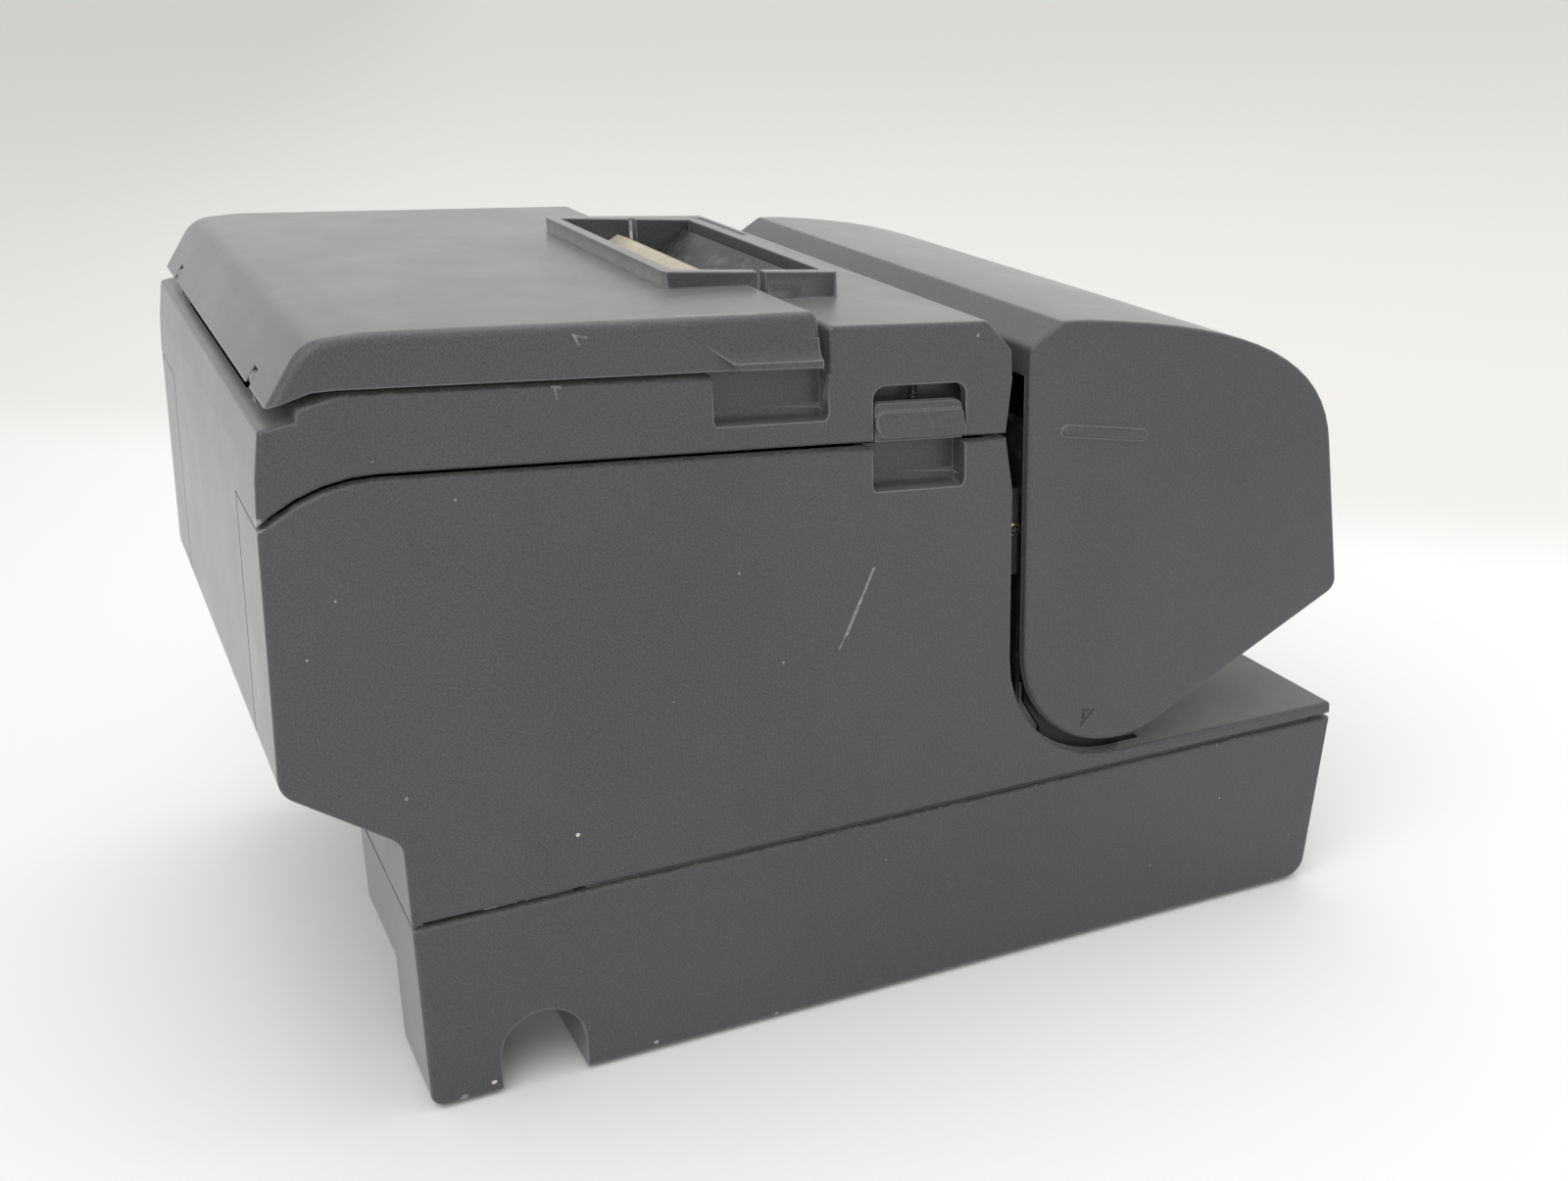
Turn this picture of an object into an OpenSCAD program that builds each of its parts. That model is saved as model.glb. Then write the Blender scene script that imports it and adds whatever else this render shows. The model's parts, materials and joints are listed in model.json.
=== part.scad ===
// Hybrid receipt and slip printer.
// X runs across the printer (+X is the operator's right), Y runs from the front
// (-Y) to the rear (+Y) and Z is up. The origin is the middle of the footprint.

/* [Casing] */
// Width over the side walls
case_w = 186; // [182:1:192]
// Wall thickness of the moulded cases
wall = 2.5; // [2:0.1:2.8]
// Height of the bottom case, up to the lower seam
base_h = 48.4; // [46:0.2:49]
// Width of the dark gap between two cases
seam = 1.2; // [0.8:0.1:1.4]
// Radius of the soft edge round each moulded side
edge_r = 1.2; // [0.8:0.1:1.5]
// Height of the roll cover's highest point
top_z = 184; // [183:0.5:186]

/* [Front cover] */
// Distance of the cover's hinge in front of the origin
hinge_back = 70; // [69:0.5:71]
// Height of the cover's hinge
hinge_z = 85; // [84.5:0.5:85.5]
// Radius of the round heel of the cover about its hinge
heel_r = 28; // [27:0.5:28.5]
// Slope of the cover's underside
under_slope = 26; // [25:0.5:26.5]
// Slip gap between the cover and the middle case
slip_gap = 3.8; // [3.4:0.1:4]

/* [Receipt unit] */
// Middle of the receipt paper's path across the printer
paper_x = -8.5; // [-10:0.5:-8]
// Width of the paper roll's bay
roll_w = 83; // [82:0.5:84]
// Radius of the paper roll's bay
roll_r = 44; // [43:0.5:44]
// Radius of the platen roller
platen_r = 6; // [5.5:0.1:6]
// Height of the frame round the paper exit above the top
rim_h = 4; // [3.5:0.1:4.5]

/* [Slip unit] */
// Radius of the rubber feed rollers
feed_r = 10; // [9.6:0.1:10]
// Radius of the carriage's guide rod
rod_r = 4; // [3.5:0.1:4]
// Tooth size (module) of the slip gears
slip_mod = 0.8; // [0.78:0.01:0.8]

/* [Hidden] */
eps = 0.01;
lean = 0.0785;
liner = 1.5;
half_w = case_w / 2;
in_w = half_w - wall;
hinge_y = -hinge_back;
casing = [0.31, 0.31, 0.33];
inner_dark = [0.13, 0.13, 0.14];
steel = [0.72, 0.72, 0.74];
rubber = [0.1, 0.1, 0.1];
brass = [0.78, 0.62, 0.32];
board_green = [0.1, 0.32, 0.2];
cream = [0.82, 0.79, 0.7];
running = 0.06;

// ---- outlines in the YZ plane, as corners [y, z, radius] ----

function unit(v) = v / norm(v);
function turn(a) = a > 180 ? a - 360 : a < -180 ? a + 360 : a;

// Arc of radius r that rounds the corner at p between neighbours a and b.
function fillet(a, p, b, r) =
    let (u = unit(a - p), v = unit(b - p), half = acos(u * v) / 2,
        c = p + unit(u + v) * r / sin(half),
        s = p + u * r / tan(half) - c, e = p + v * r / tan(half) - c,
        a0 = atan2(s[1], s[0]), sweep = turn(atan2(e[1], e[0]) - a0),
        n = max(1, ceil(abs(sweep) / 10)))
    [for (i = [0:n]) c + r * [cos(a0 + sweep * i / n), sin(a0 + sweep * i / n)]];

// Closed outline through the corners, each rounded by its own radius.
function soften(k) =
    let (n = len(k), at = [for (c = k) [c[0], c[1]]])
    [for (i = [0:n - 1])
        each k[i][2] == 0 ? [at[i]] : fillet(at[(i + n - 1) % n], at[i], at[(i + 1) % n], k[i][2])];

// Points of a curve from a to d, without its two ends.
function bezier(a, b, c, d, n) =
    [for (i = [1:n - 1]) let (t = i / n, s = 1 - t)
        a * s * s * s + b * 3 * s * s * t + c * 3 * s * t * t + d * t * t * t];

// Outline moved inwards by d, corner by corner.
function inset(p, d) =
    let (n = len(p))
    [for (i = [0:n - 1])
        let (u = unit(p[i] - p[(i + n - 1) % n]), v = unit(p[(i + 1) % n] - p[i]),
            m = [-u[1], u[0]], k = [-v[1], v[0]])
        p[i] + (m + k) * d / (1 + m * k)];

// Extrusion across the printer from x0 to x1 of a YZ outline.
module across(x0, x1) {
    translate([x0, 0, 0]) rotate([90, 0, 90]) linear_extrude(x1 - x0) children();
}

// The same, over the full width, with a soft edge of radius r round both ends.
module soft_block(p, r = edge_r, half = half_w, steps = 3) {
    n = len(p);
    side = [for (i = [0:steps]) let (a = 90 * i / steps) [half - r + r * sin(a), r * (1 - cos(a))]];
    rings = concat([[-half - 0.5, r]], [for (i = [steps:-1:0]) [-side[i][0], side[i][1]]], side,
        [[half + 0.5, r]]);
    loops = [for (g = rings) [for (q = inset(p, g[1])) [g[0], q[0], q[1]]]];
    walls = [for (k = [0:len(rings) - 2]) for (i = [0:n - 1]) let (j = (i + 1) % n)
        [(k + 1) * n + i, (k + 1) * n + j, k * n + j, k * n + i]];
    last = (len(rings) - 1) * n;
    intersection() {
        polyhedron([for (l = loops) each l],
            concat(walls, [[for (i = [0:n - 1]) i]], [[for (i = [n - 1:-1:0]) last + i]]));
        block([-half, -200, -1], [half, 200, top_z + wall]);
    }
}

// Box between two opposite corners.
module block(a, b) {
    translate(a) cube(b - a);
}

// Hollow of the given depth in a side wall. Its floor follows the seams' slope and
// rises to the wall's face in a cove.
module finger_hollow(side, y, z0, z1, depth) {
    span = y[1] - y[0];
    cove = 3.5;
    intersection() {
        across(side > 0 ? half_w - depth : -half_w - 1, side > 0 ? half_w + 1 : -half_w + depth)
            polygon(soften([[y[0], z0 - 1, 3], [y[1], z0 + span * lean - 1, 3], [y[1], z1, 0],
                [y[0], z1, 0]]));
        translate([side * half_w, y[0] - 2, z0 - 2 * lean]) rotate([atan(lean), 0, 0])
            rotate([90, 0, 0]) mirror([0, 0, 1]) linear_extrude(span + 6)
                polygon(cove_section(side, depth, cove, z1 - z0 + 4));
    }
}

// Section of a finger hollow: open outside, a flat back, and a cove at its foot.
function cove_section(side, depth, cove, high) =
    let (arc = [for (i = [0:4]) let (a = 90 * i / 4)
            [side * (-depth + cove - cove * sin(a)), cove - cove * cos(a)]],
        points = concat([[side * 2, 0]], arc, [[-side * depth, high], [side * 2, high]]))
    side < 0 ? [for (i = [len(points) - 1:-1:0]) points[i]] : points;

// Cylinder across the printer, centred at [y, z].
module pin(x0, x1, c, r, fn = 48) {
    translate([x0, c[0], c[1]]) rotate([0, 90, 0]) cylinder(h = x1 - x0, r = r, $fn = fn);
}

// Spur gear outline with straight-sided teeth, first tooth at the given angle.
module gear_2d(teeth, m, first = 0, slack = 0.3) {
    r = teeth * m / 2;
    w = 90 * m / r;
    cut = slack * 90 / PI / r;
    polygon([for (i = [0:teeth - 1]) let (a = first + i * 360 / teeth)
        each [for (s = [[-0.78, -1.2], [-0.3, 0.9], [0.3, 0.9], [0.78, -1.2]])
            let (b = a + s[0] * w - sign(s[0]) * cut) (r + s[1] * m) * [cos(b), sin(b)]]]);
}

// Gear across the printer: its outline angle is measured from +Y towards +Z.
module gear(x0, x1, c, teeth, m, first, bore) {
    difference() {
        translate([x0, c[0], c[1]]) rotate([90, 0, 90]) linear_extrude(x1 - x0)
            gear_2d(teeth, m, first);
        pin(x0 - 1, x1 + 1, c, bore);
    }
}

// ---- shared lines ----

front_y = -139.5;
rear_y = 115;
case_z0 = 1;
mid_z0 = base_h + seam;
slot_r = heel_r + slip_gap;
tray_z = hinge_z - slot_r;
mid_front = hinge_y + slot_r;
rear_low = [139.7, 87.6];
rear_lean = 0.05;
function rear_line(z) = rear_low[0] - (z - rear_low[1]) * rear_lean;
function mid_seam(y) = 142.2 + 0.0785 * (y + 34.5);
function cover_seam(y) = 164.2 + 0.075 * (y - 11.5);
unit_gap = 1;
crest = [123.3, 154.6];
cover_y0 = 11.5;
unit_top_y1 = 9.6;
unit_hinge = [126, 102];
roll_hinge = [129.5, 171.5];
roll_c = [76, 131];
platen_c = [26, 150];
panel_half = 61;
// The rear panel ends on the underside here, this far from the unit's hinge.
panel_end_y = 128;
panel_sweep = 22.9;

corner_r = edge_r + 0.1;
bottom_outline = soften([[-133.9, case_z0, 6], [rear_y, case_z0, 3], [rear_y, base_h, 0],
    [front_y, base_h, 0]]);
middle_outline = soften([[front_y, mid_z0, 0], [rear_y, mid_z0, 0], [rear_y, 70.2, 6],
    [rear_low[0], rear_low[1], 6], [rear_line(146), 146, 0], [crest[0], crest[1], 36],
    [-36.2, 142.1, 0], [mid_front, 129, 12], [mid_front, tray_z, slot_r],
    [front_y, tray_z, corner_r]]);
unit_outline = soften([[-36.1, 143.2, 0], [crest[0], crest[1] + unit_gap, 36],
    [rear_line(147) + 0.1, 147, 0], [135.9, 157, 14], [134.2, 167, corner_r], [127, 168, 0],
    [126.4, 170.4, 0],
    [118, 172.2, 10], [unit_top_y1, 164.05, 0], [unit_top_y1, 174, corner_r], [-31, 170.7, 2],
    [-37.4, 163.3, 2], [-37.7, 156, 0]]);
cover_r = 2.4;
roll_sides = soften([[cover_y0, 158, 0], [142.3, 156, 0], [123.5, 183.6, 9], [111, top_z, 25],
    [cover_y0, 177.4, cover_r + 0.1]]);
roll_seam = [[cover_y0 - 5, 150], [145, 150], [145, 169.1], [132.2, 170.9], [123, 173.4],
    [118, 173.3], [cover_y0 - 5, 164.8]];
heel_corner = [hinge_y + heel_r, hinge_z - heel_r * tan((90 + under_slope) / 2)];
nose_y = -138;
function under_z(y) = hinge_z - heel_r / cos(under_slope) - (y - hinge_y) * tan(under_slope);
cover_tail = soften([[-132.3, 128, 0], [nose_y, under_z(nose_y), 4],
    [heel_corner[0], heel_corner[1], heel_r], [heel_corner[0], 163.2, 2],
    [-51, 168.4, 2], [-58, 167.9, 0]]);
cover_outline = concat(cover_tail,
    bezier([-58, 167.9], [-108, 161.5], [-129.5, 150], [-132.3, 128], 16));

// ---- bottom case ----

bay_y = 77;
pillar_y = 98;
pillar_x = -64;
tab_x = -32;
tab_z = 26.5;
notch = [87.5, 9.5];
notch_r = 10.5;

module bottom_case() {
    color(casing) {
        difference() {
            union() {
                soft_block(bottom_outline);
                seam_tongue();
                block([-half_w + edge_r, rear_y - wall, base_h - 1],
                    [pillar_x, rear_y - 0.1, base_h + seam - 0.15]);
            }
            block([-in_w, -134, case_z0 + wall], [in_w, bay_y - wall, base_h + 10]);
            block([-in_w, bay_y, -eps], [half_w + 1, pillar_y, base_h + 10]);
            block([pillar_x, pillar_y - 1, -eps], [half_w + 1, rear_y - wall, base_h + 10]);
            block([tab_x, rear_y - wall - 1, -eps], [half_w + 1, rear_y + 1, base_h + 10]);
            block([pillar_x, rear_y - wall - 1, -eps], [tab_x + 1, rear_y + 1, tab_z]);
            block([-in_w, pillar_y + wall, case_z0 + wall],
                [pillar_x - wall, rear_y - wall, base_h + 10]);
            pin(-half_w - 1, -in_w + 1, notch, notch_r, 48);
            block([-half_w - 1, notch[0] - notch_r, -eps],
                [-in_w + 1, notch[0] + notch_r, notch[1]]);
            connector_holes();
            block([switch_x - 10, -145, 14], [switch_x + 10, -130, 30]);
            screw_holes(2);
        }
    }
}

// Lip that stands inside the lower seam and keys the two cases together.
module seam_tongue() {
    for (x = [-in_w - 0.7, in_w - 0.5])
        block([x, -133, base_h - 6], [x + 1.2, bay_y - 3, base_h + 2]);
    block([-88, -136.8, base_h - 6], [88, -135, base_h + 2]);
}

screw_at = [[-78, -118], [78, -118], [-78, 60], [78, 60]];

module screw_holes(r) {
    for (s = screw_at) translate([s[0], s[1], -1]) cylinder(h = 8, r = r, $fn = 24);
}

module case_screws() {
    color(steel) for (s = screw_at) translate([s[0], s[1], case_z0 + 0.4]) {
        cylinder(h = 1.6, r = 1.9, $fn = 24);
        cylinder(h = 14, r = 1.5, $fn = 24);
    }
}

module rubber_feet() {
    color(rubber) for (x = [-70, 70]) for (y = [-104, 44])
        translate([x, y, 0]) cylinder(h = case_z0, r = 7, $fn = 48);
}

module base_plate() {
    color(steel) difference() {
        block([-84, -128, 6], [84, 70, 7.2]);
        for (s = screw_at) translate([s[0], s[1], 0]) cylinder(h = 12, r = 1.7, $fn = 24);
        for (x = [-50:25:50]) for (y = [-90:30:60])
            translate([x, y, 0]) cylinder(h = 12, r = 5, $fn = 24);
    }
}

module logic_board() {
    color(board_green) block([-66, -20, 14], [71.5, 71, 15.6]);
    color(inner_dark) for (c = [[-40, 10, 22], [10, 0, 16], [50, 20, 12]])
        block([c[0], c[1], 15.6], [c[0] + c[2], c[1] + c[2], 18.4]);
    color(steel) for (c = [[-62, -16], [67, -16], [-62, 50], [67, 50]])
        translate([c[0], c[1], 7.2]) cylinder(h = 6.8, r = 2.5, $fn = 6);
}

// Sockets on the rear wall of the base, in the cable bay: [x0, x1, height].
sockets = [[-50, -38, 11], [-26, -8, 13], [10, 44, 12], [56, 72, 14]];

module connector_holes() {
    for (s = sockets) block([s[0] - 0.3, bay_y - wall - 1, 15.6], [s[1] + 0.3, bay_y + 1, 16 + s[2] + 0.3]);
}

module connectors() {
    color(steel) for (s = sockets) difference() {
        block([s[0], 60, 15.6], [s[1], bay_y + 1.5, 15.6 + s[2]]);
        block([s[0] + 1.2, 66, 16.8], [s[1] - 1.2, bay_y + 2, 14.4 + s[2]]);
    }
    color(inner_dark) for (s = sockets)
        block([s[0] + 3, 66, 15.6 + s[2] / 2 - 1.2], [s[1] - 3, bay_y - 1, 15.6 + s[2] / 2 + 1.2]);
}

switch_x = 62;
switch_c = [-133.5, 22];

module power_switch() {
    color(inner_dark) difference() {
        pin(switch_x - 9.5, switch_x + 9.5, switch_c, 7.2);
        block([switch_x - 11, -140, 10], [switch_x + 11, -138.2, 34]);
        block([switch_x - 11, -132, 10], [switch_x + 11, -120, 34]);
        pin(switch_x - 10, switch_x + 10, [-152, 22], 15.5, 64);
    }
}

// ---- middle case ----

tray_slot_x = [85.2, 88.4];
feed_y = mid_front + feed_r - 0.2;
feed_z = [98, 134];
feed_x = [-58, -22, 14, 50];
roller_w = 12;
nip_w = 9;
slip_platen_z = [110, 124];

module middle_case() {
    color(casing) difference() {
        soft_block(middle_outline);
        across(-in_w, in_w) offset(delta = -wall) polygon(middle_outline);
        block([-in_w, -31.5, 134], [in_w, 134.2, 170]);
        block([-in_w, -58, mid_z0 - 2], [in_w, bay_y - 2, 52.2]);
        block([-in_w, front_y + 2, mid_z0 - 1], [in_w, -60, tray_z - wall]);
        rear_opening();
        for (x = [-in_w - 0.9, in_w - 0.6])
            block([x, -134, mid_z0 - 1], [x + 1.5, bay_y - 2, base_h + 2.2]);
        for (s = [-1, 1]) frame_slot(s);
        for (z = feed_z) for (x = feed_x)
            pin(x - roller_w / 2 - 0.6, x + roller_w / 2 + 0.6, [feed_y, z], feed_r + 0.6, 96);
        block([-66, mid_front - 2, slip_platen_z[0] - 0.3],
            [60, mid_front + wall + 1, slip_platen_z[1] + 0.3]);
        for (z = feed_z) pin(gear_x[0] - 0.5, gear_x[1] + 0.5, [feed_y, z], 7.7, 64);
        latch_pocket();
    }
    color(casing) latch_pocket_liner();
}

// The receipt unit's rear panel takes the place of the wall here.
module rear_opening() {
    block([-panel_half - 0.8, 125, unit_hinge[1]], [panel_half + 0.8, 145, 152]);
    pin(-panel_half - 0.8, panel_half + 0.8, unit_hinge, panel_sweep + 0.3, 96);
}

module frame_slot(side) {
    x0 = side > 0 ? tray_slot_x[0] : -tray_slot_x[1];
    block([x0, -80, mid_z0 - 2], [x0 + tray_slot_x[1] - tray_slot_x[0], -46, 72]);
}

// Finger pocket under the latch, on the left side.
pocket_y = [-24.8, -0.8];
pocket_z = 132.2;
pocket_d = 6;

module latch_pocket() {
    finger_hollow(-1, pocket_y, pocket_z, 160, pocket_d);
}

module latch_pocket_liner() {
    difference() {
        across(-in_w, -half_w + pocket_d + liner) polygon([
            [pocket_y[0] - liner, pocket_z - liner], [pocket_y[1] + liner, pocket_z - liner],
            [pocket_y[1] + liner, mid_seam(pocket_y[1]) - 0.4],
            [pocket_y[0] - liner, mid_seam(pocket_y[0]) - 0.4]]);
        latch_pocket();
    }
}

module slip_guide() {
    color(casing) {
        block([80.4, -134, tray_z], [82.4, -96, tray_z + 3]);
        block([76, -134, tray_z], [80.4, -120, tray_z + 1.2]);
    }
}

module unit_hinge_rod() {
    color(steel) pin(-72, 77, unit_hinge, 3);
}

module rod_brackets() {
    color(steel) for (x = [-70, 73]) difference() {
        across(x, x + 2.5) polygon([[60, 7.2], [74, 7.2], [74, 53], [110.5, 53], [110.5, 68], [133, 96],
            [133, 108], [118, 108], [108, 72], [98, 62], [60, 52]]);
        pin(x - 1, x + 4, unit_hinge, 3);
    }
}

// ---- slip unit ----

rod_c = [-82, 104];
rail_c = [-58, 100];
frame_in = 86;
frame_t = 1.5;
pulley_x = 70;
pulley_y = -104;
belt_z = 92;
head_z = 117;
head_nose_y = -43.4;
guide_y = mid_front - slip_gap - 1.6;

module side_frame(side) {
    x0 = side > 0 ? frame_in : -frame_in - frame_t;
    color(steel) difference() {
        across(x0, x0 + frame_t) polygon([[-74, 7.2], [-50, 7.2], [-50, 62], [-45.4, 70], [-45.4, 140],
            [-52, 148], [-104, 144], [-118, 128], [-120, 92], [-92, 72], [-74, 66]]);
        pin(x0 - 1, x0 + 3, rod_c, rod_r);
        pin(x0 - 1, x0 + 3, rail_c, 3);
        pin(x0 - 1, x0 + 3, [-70, 132], 9);
        pin(x0 - 1, x0 + 3, [-98, 118], 8);
        pin(x0 - 1, x0 + 3, [-64, 32], 8);
    }
    color(steel) pin(side > 0 ? frame_in + frame_t : -half_w + 0.9,
        side > 0 ? half_w - 0.9 : -frame_in - frame_t, [hinge_y, hinge_z], 3);
}

module side_frame_left() { side_frame(-1); }
module side_frame_right() { side_frame(1); }

module frame_tie_bar() {
    color(steel) {
        block([-frame_in, -118, 102], [frame_in, -116.6, 126]);
        block([-frame_in, -116.6, 124.6], [frame_in, -108, 126]);
    }
}

// Sheet in front of the slip path, with windows for the rollers and the head.
module front_guide() {
    color(inner_dark) difference() {
        block([-frame_in, guide_y - 1.2, 69], [frame_in, guide_y, 144]);
        for (z = feed_z) for (x = feed_x)
            block([x - nip_w / 2 - 0.6, guide_y - 2, z - pinch_r - 0.5],
                [x + nip_w / 2 + 0.6, guide_y + 1, z + pinch_r + 0.5]);
        block([-70.2, guide_y - 2, 107.4], [70.2, guide_y + 1, 124.4]);
    }
}

module carriage_rod() {
    color(steel) pin(-frame_in - frame_t, frame_in + frame_t, rod_c, rod_r);
}

module carriage_rail() {
    color(steel) pin(-frame_in - frame_t, frame_in + frame_t, rail_c, 3);
}

module carriage_motor() {
    color(steel) translate([pulley_x, pulley_y, belt_z + 5]) cylinder(h = 22, r = 12, $fn = 64);
    color(steel) difference() {
        block([pulley_x - 12, pulley_y - 12, belt_z + 4], [frame_in, pulley_y + 12, belt_z + 5]);
        translate([pulley_x, pulley_y, belt_z]) cylinder(h = 10, r = 3, $fn = 32);
    }
}

// Toothed pulley round an upright bore.
module pulley(x, bore) {
    color(steel) translate([x, pulley_y, belt_z]) difference() {
        union() {
            translate([0, 0, -2.6]) linear_extrude(5.2) gear_2d(16, 0.8, 0);
            for (z = [-3.6, 2.6 - eps]) translate([0, 0, z]) cylinder(h = 1 + eps, r = 7.6, $fn = 48);
        }
        translate([0, 0, -6]) cylinder(h = 12, r = bore, $fn = 32);
    }
}

module drive_pulley() {
    pulley(pulley_x, 1.5);
    color(steel) translate([pulley_x, pulley_y, belt_z - 4]) cylinder(h = 8.8, r = 1.5, $fn = 32);
}

module idler_pulley() { pulley(-pulley_x, 1.5 + running); }

module idler_bracket() {
    color(steel) {
        block([-frame_in, pulley_y - 8, belt_z + 4], [-pulley_x + 6, pulley_y + 8, belt_z + 5]);
        translate([-pulley_x, pulley_y, belt_z - 5]) cylinder(h = 9.2, r = 1.5, $fn = 32);
    }
}

// Flat belt loop that runs just off the pulleys' teeth.
belt_r = 7.3;

module carriage_belt() {
    color(rubber) translate([0, pulley_y, belt_z - 2.4]) linear_extrude(4.8) difference() {
        belt_outline(belt_r + 0.9);
        belt_outline(belt_r);
    }
}

module belt_outline(r) {
    union() {
        translate([-pulley_x, -r]) square([2 * pulley_x, 2 * r]);
        for (x = [-pulley_x, pulley_x]) translate([x, 0]) circle(r, $fn = 48);
    }
}

carriage_half = 17;

module carriage() {
    color(inner_dark) difference() {
        union() {
            block([-carriage_half, -89.5, 98], [carriage_half, -74, 110]);
            block([-12, -77, 98], [12, -73.8, 126]);
            block([-12, -74.5, 98], [12, -64, 103]);
            block([-9, -66, 94.6], [9, -55.2, 97]);
            block([-9, -66, 94.6], [9, -63, 104]);
            block([-9, -66, 103.2], [9, -55.2, 105]);
        }
        pin(-30, 30, rod_c, rod_r + running, 64);
    }
    color(inner_dark) {
        block([-6, -95.2, 88.8], [6, -89.5, 104]);
        block([-6, -95.7, 88.8], [6, -95.2, 95]);
    }
}

module print_head() {
    color(steel) {
        for (y = [-73.8:3:-56]) translate([0, y, head_z + 0.5]) rotate([-90, 0, 0])
            cylinder(h = 1.5, r = 12.4, $fn = 48);
        translate([0, -73.8, head_z + 0.5]) rotate([-90, 0, 0]) cylinder(h = 20, r = 9, $fn = 48);
    }
    color(inner_dark) {
        block([-4, -54, head_z - 8], [4, -48, head_z + 8]);
        block([-2.4, -48, head_z - 6], [2.4, head_nose_y - 0.9, head_z + 5]);
    }
}

// The cassette lies over the carriage, with an arm down to the ribbon at each end.
module ribbon_cassette() {
    color(inner_dark) {
        difference() {
            block([-76, -112, 132], [76, -66, 144]);
            translate([-54, -92, 136]) cylinder(h = 12, r = 12, $fn = 48);
            translate([-54, -92, 131]) cylinder(h = 12, r = 3.2, $fn = 32);
        }
        for (x = [-76, 69]) {
            block([x, -66.5, 125.2], [x + 7, -50.5, 143]);
            block([x, -62, 108], [x + 7, guide_y - 1.6, 125.3]);
        }
    }
    color([0.05, 0.05, 0.06]) block([-69.5, head_nose_y - 0.6, 111], [69.5, head_nose_y - 0.4, 123]);
}

module ribbon_knob() {
    color(cream) translate([-54, -92, 0]) {
        translate([0, 0, 136.4]) difference() {
            cylinder(h = 9, r = 10, $fn = 48);
            for (a = [0:30:330]) rotate(a) translate([10.6, 0, 2]) cylinder(h = 9, r = 1.6, $fn = 16);
        }
        translate([0, 0, 128]) cylinder(h = 9, r = 3.14, $fn = 32);
    }
}

pinch_r = 7.6;
pinch_y = mid_front - 0.8 - pinch_r;

module pinch_shaft(z) {
    color(steel) pin(-frame_in + 0.3, frame_in - 0.3, [pinch_y, z], 1.5, 32);
    color(rubber) for (x = feed_x) difference() {
        pin(x - nip_w / 2, x + nip_w / 2, [pinch_y, z], pinch_r);
        pin(x - nip_w, x + nip_w, [pinch_y, z], 1.5, 32);
    }
}

module lower_pinch_rollers() { pinch_shaft(feed_z[0]); }
module upper_pinch_rollers() { pinch_shaft(feed_z[1]); }

module slip_platen() {
    color(rubber) block([-65, mid_front + 0.3, slip_platen_z[0]], [59, mid_front + 4, slip_platen_z[1]]);
    color(steel) block([-75, mid_front + 4, slip_platen_z[0] + 2], [70, mid_front + 6, slip_platen_z[1] - 2]);
}

// Gear train at the right-hand end: teeth and centres.
gear_x = [77.5, 82];
shaft_teeth = 15;
idler_teeth = 35;
pinion_teeth = 12;
function pitch(a, b) = (a + b) * slip_mod / 2 + 0.1;
mesh = pitch(shaft_teeth, idler_teeth);
feed_mid = (feed_z[0] + feed_z[1]) / 2;
idler_y = feed_y + sqrt(mesh * mesh - pow((feed_z[1] - feed_z[0]) / 2, 2));
idler_c = [idler_y, feed_mid];
pinion_c = [idler_y + pitch(pinion_teeth, idler_teeth), feed_mid];
// Direction from the idler to each feed shaft, and the idler's tooth phase there.
to_shaft = [for (z = feed_z) atan2(z - feed_mid, feed_y - idler_y)];
function phase_in(driver_first, driver_teeth, teeth, dir) =
    dir + 180 - ((dir - driver_first) * driver_teeth / teeth) * -1 + 180 / teeth;

module feed_shaft(k) {
    z = feed_z[k];
    color(steel) pin(-80, 83.5, [feed_y, z], 3);
    color(rubber) for (x = feed_x) difference() {
        pin(x - roller_w / 2, x + roller_w / 2, [feed_y, z], feed_r);
        pin(x - roller_w, x + roller_w, [feed_y, z], 3);
    }
    color(cream) gear(gear_x[0], gear_x[1], [feed_y, z], shaft_teeth, slip_mod,
        phase_in(0, idler_teeth, shaft_teeth, to_shaft[k]), 3);
}

module lower_feed_shaft() { feed_shaft(0); }
module upper_feed_shaft() { feed_shaft(1); }

module idler_gear() {
    color(cream) difference() {
        union() {
            gear(gear_x[0], gear_x[1], idler_c, idler_teeth, slip_mod, 0, 2 + running);
            pin(gear_x[0] - 1.1, gear_x[0] + eps, idler_c, 4);
        }
        pin(60, 90, idler_c, 2 + running);
    }
}

module motor_pinion() {
    color(brass) gear(gear_x[0], gear_x[1], pinion_c, pinion_teeth, slip_mod,
        phase_in(0, idler_teeth, pinion_teeth, 0), 1.5);
    color(steel) pin(74, gear_x[1], pinion_c, 1.5, 32);
}

module slip_motor() {
    color(steel) {
        pin(50, 73, pinion_c, 13, 64);
        block([73 - eps, pinion_c[0] - 14, feed_mid - 14], [73.6, pinion_c[0] + 14, feed_mid + 14]);
        block([73 - eps, pinion_c[0] - 14, feed_mid + 10], [plate_x[1], pinion_c[0] + 14, feed_mid + 11]);
    }
}

plate_x = [-77.5, 75];

module feed_shaft_plates() {
    color(steel) for (x = plate_x) difference() {
        across(x, x + 1.2) polygon([[mid_front + wall + 0.4, 60], [-10, 56], [24, 70], [24, 141],
            [-30, 141], [mid_front + wall + 0.6, 127]]);
        for (z = feed_z) pin(x - 1, x + 3, [feed_y, z], 3 + running);
        pin(x - 1, x + 3, pinion_c, 5, 32);
    }
    color(steel) for (x = plate_x) block([x, -20, 7.2], [x + 1.2, 16, 62]);
    color(steel) pin(plate_x[1], gear_x[1] + 1.5, idler_c, 2, 32);
}

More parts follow.
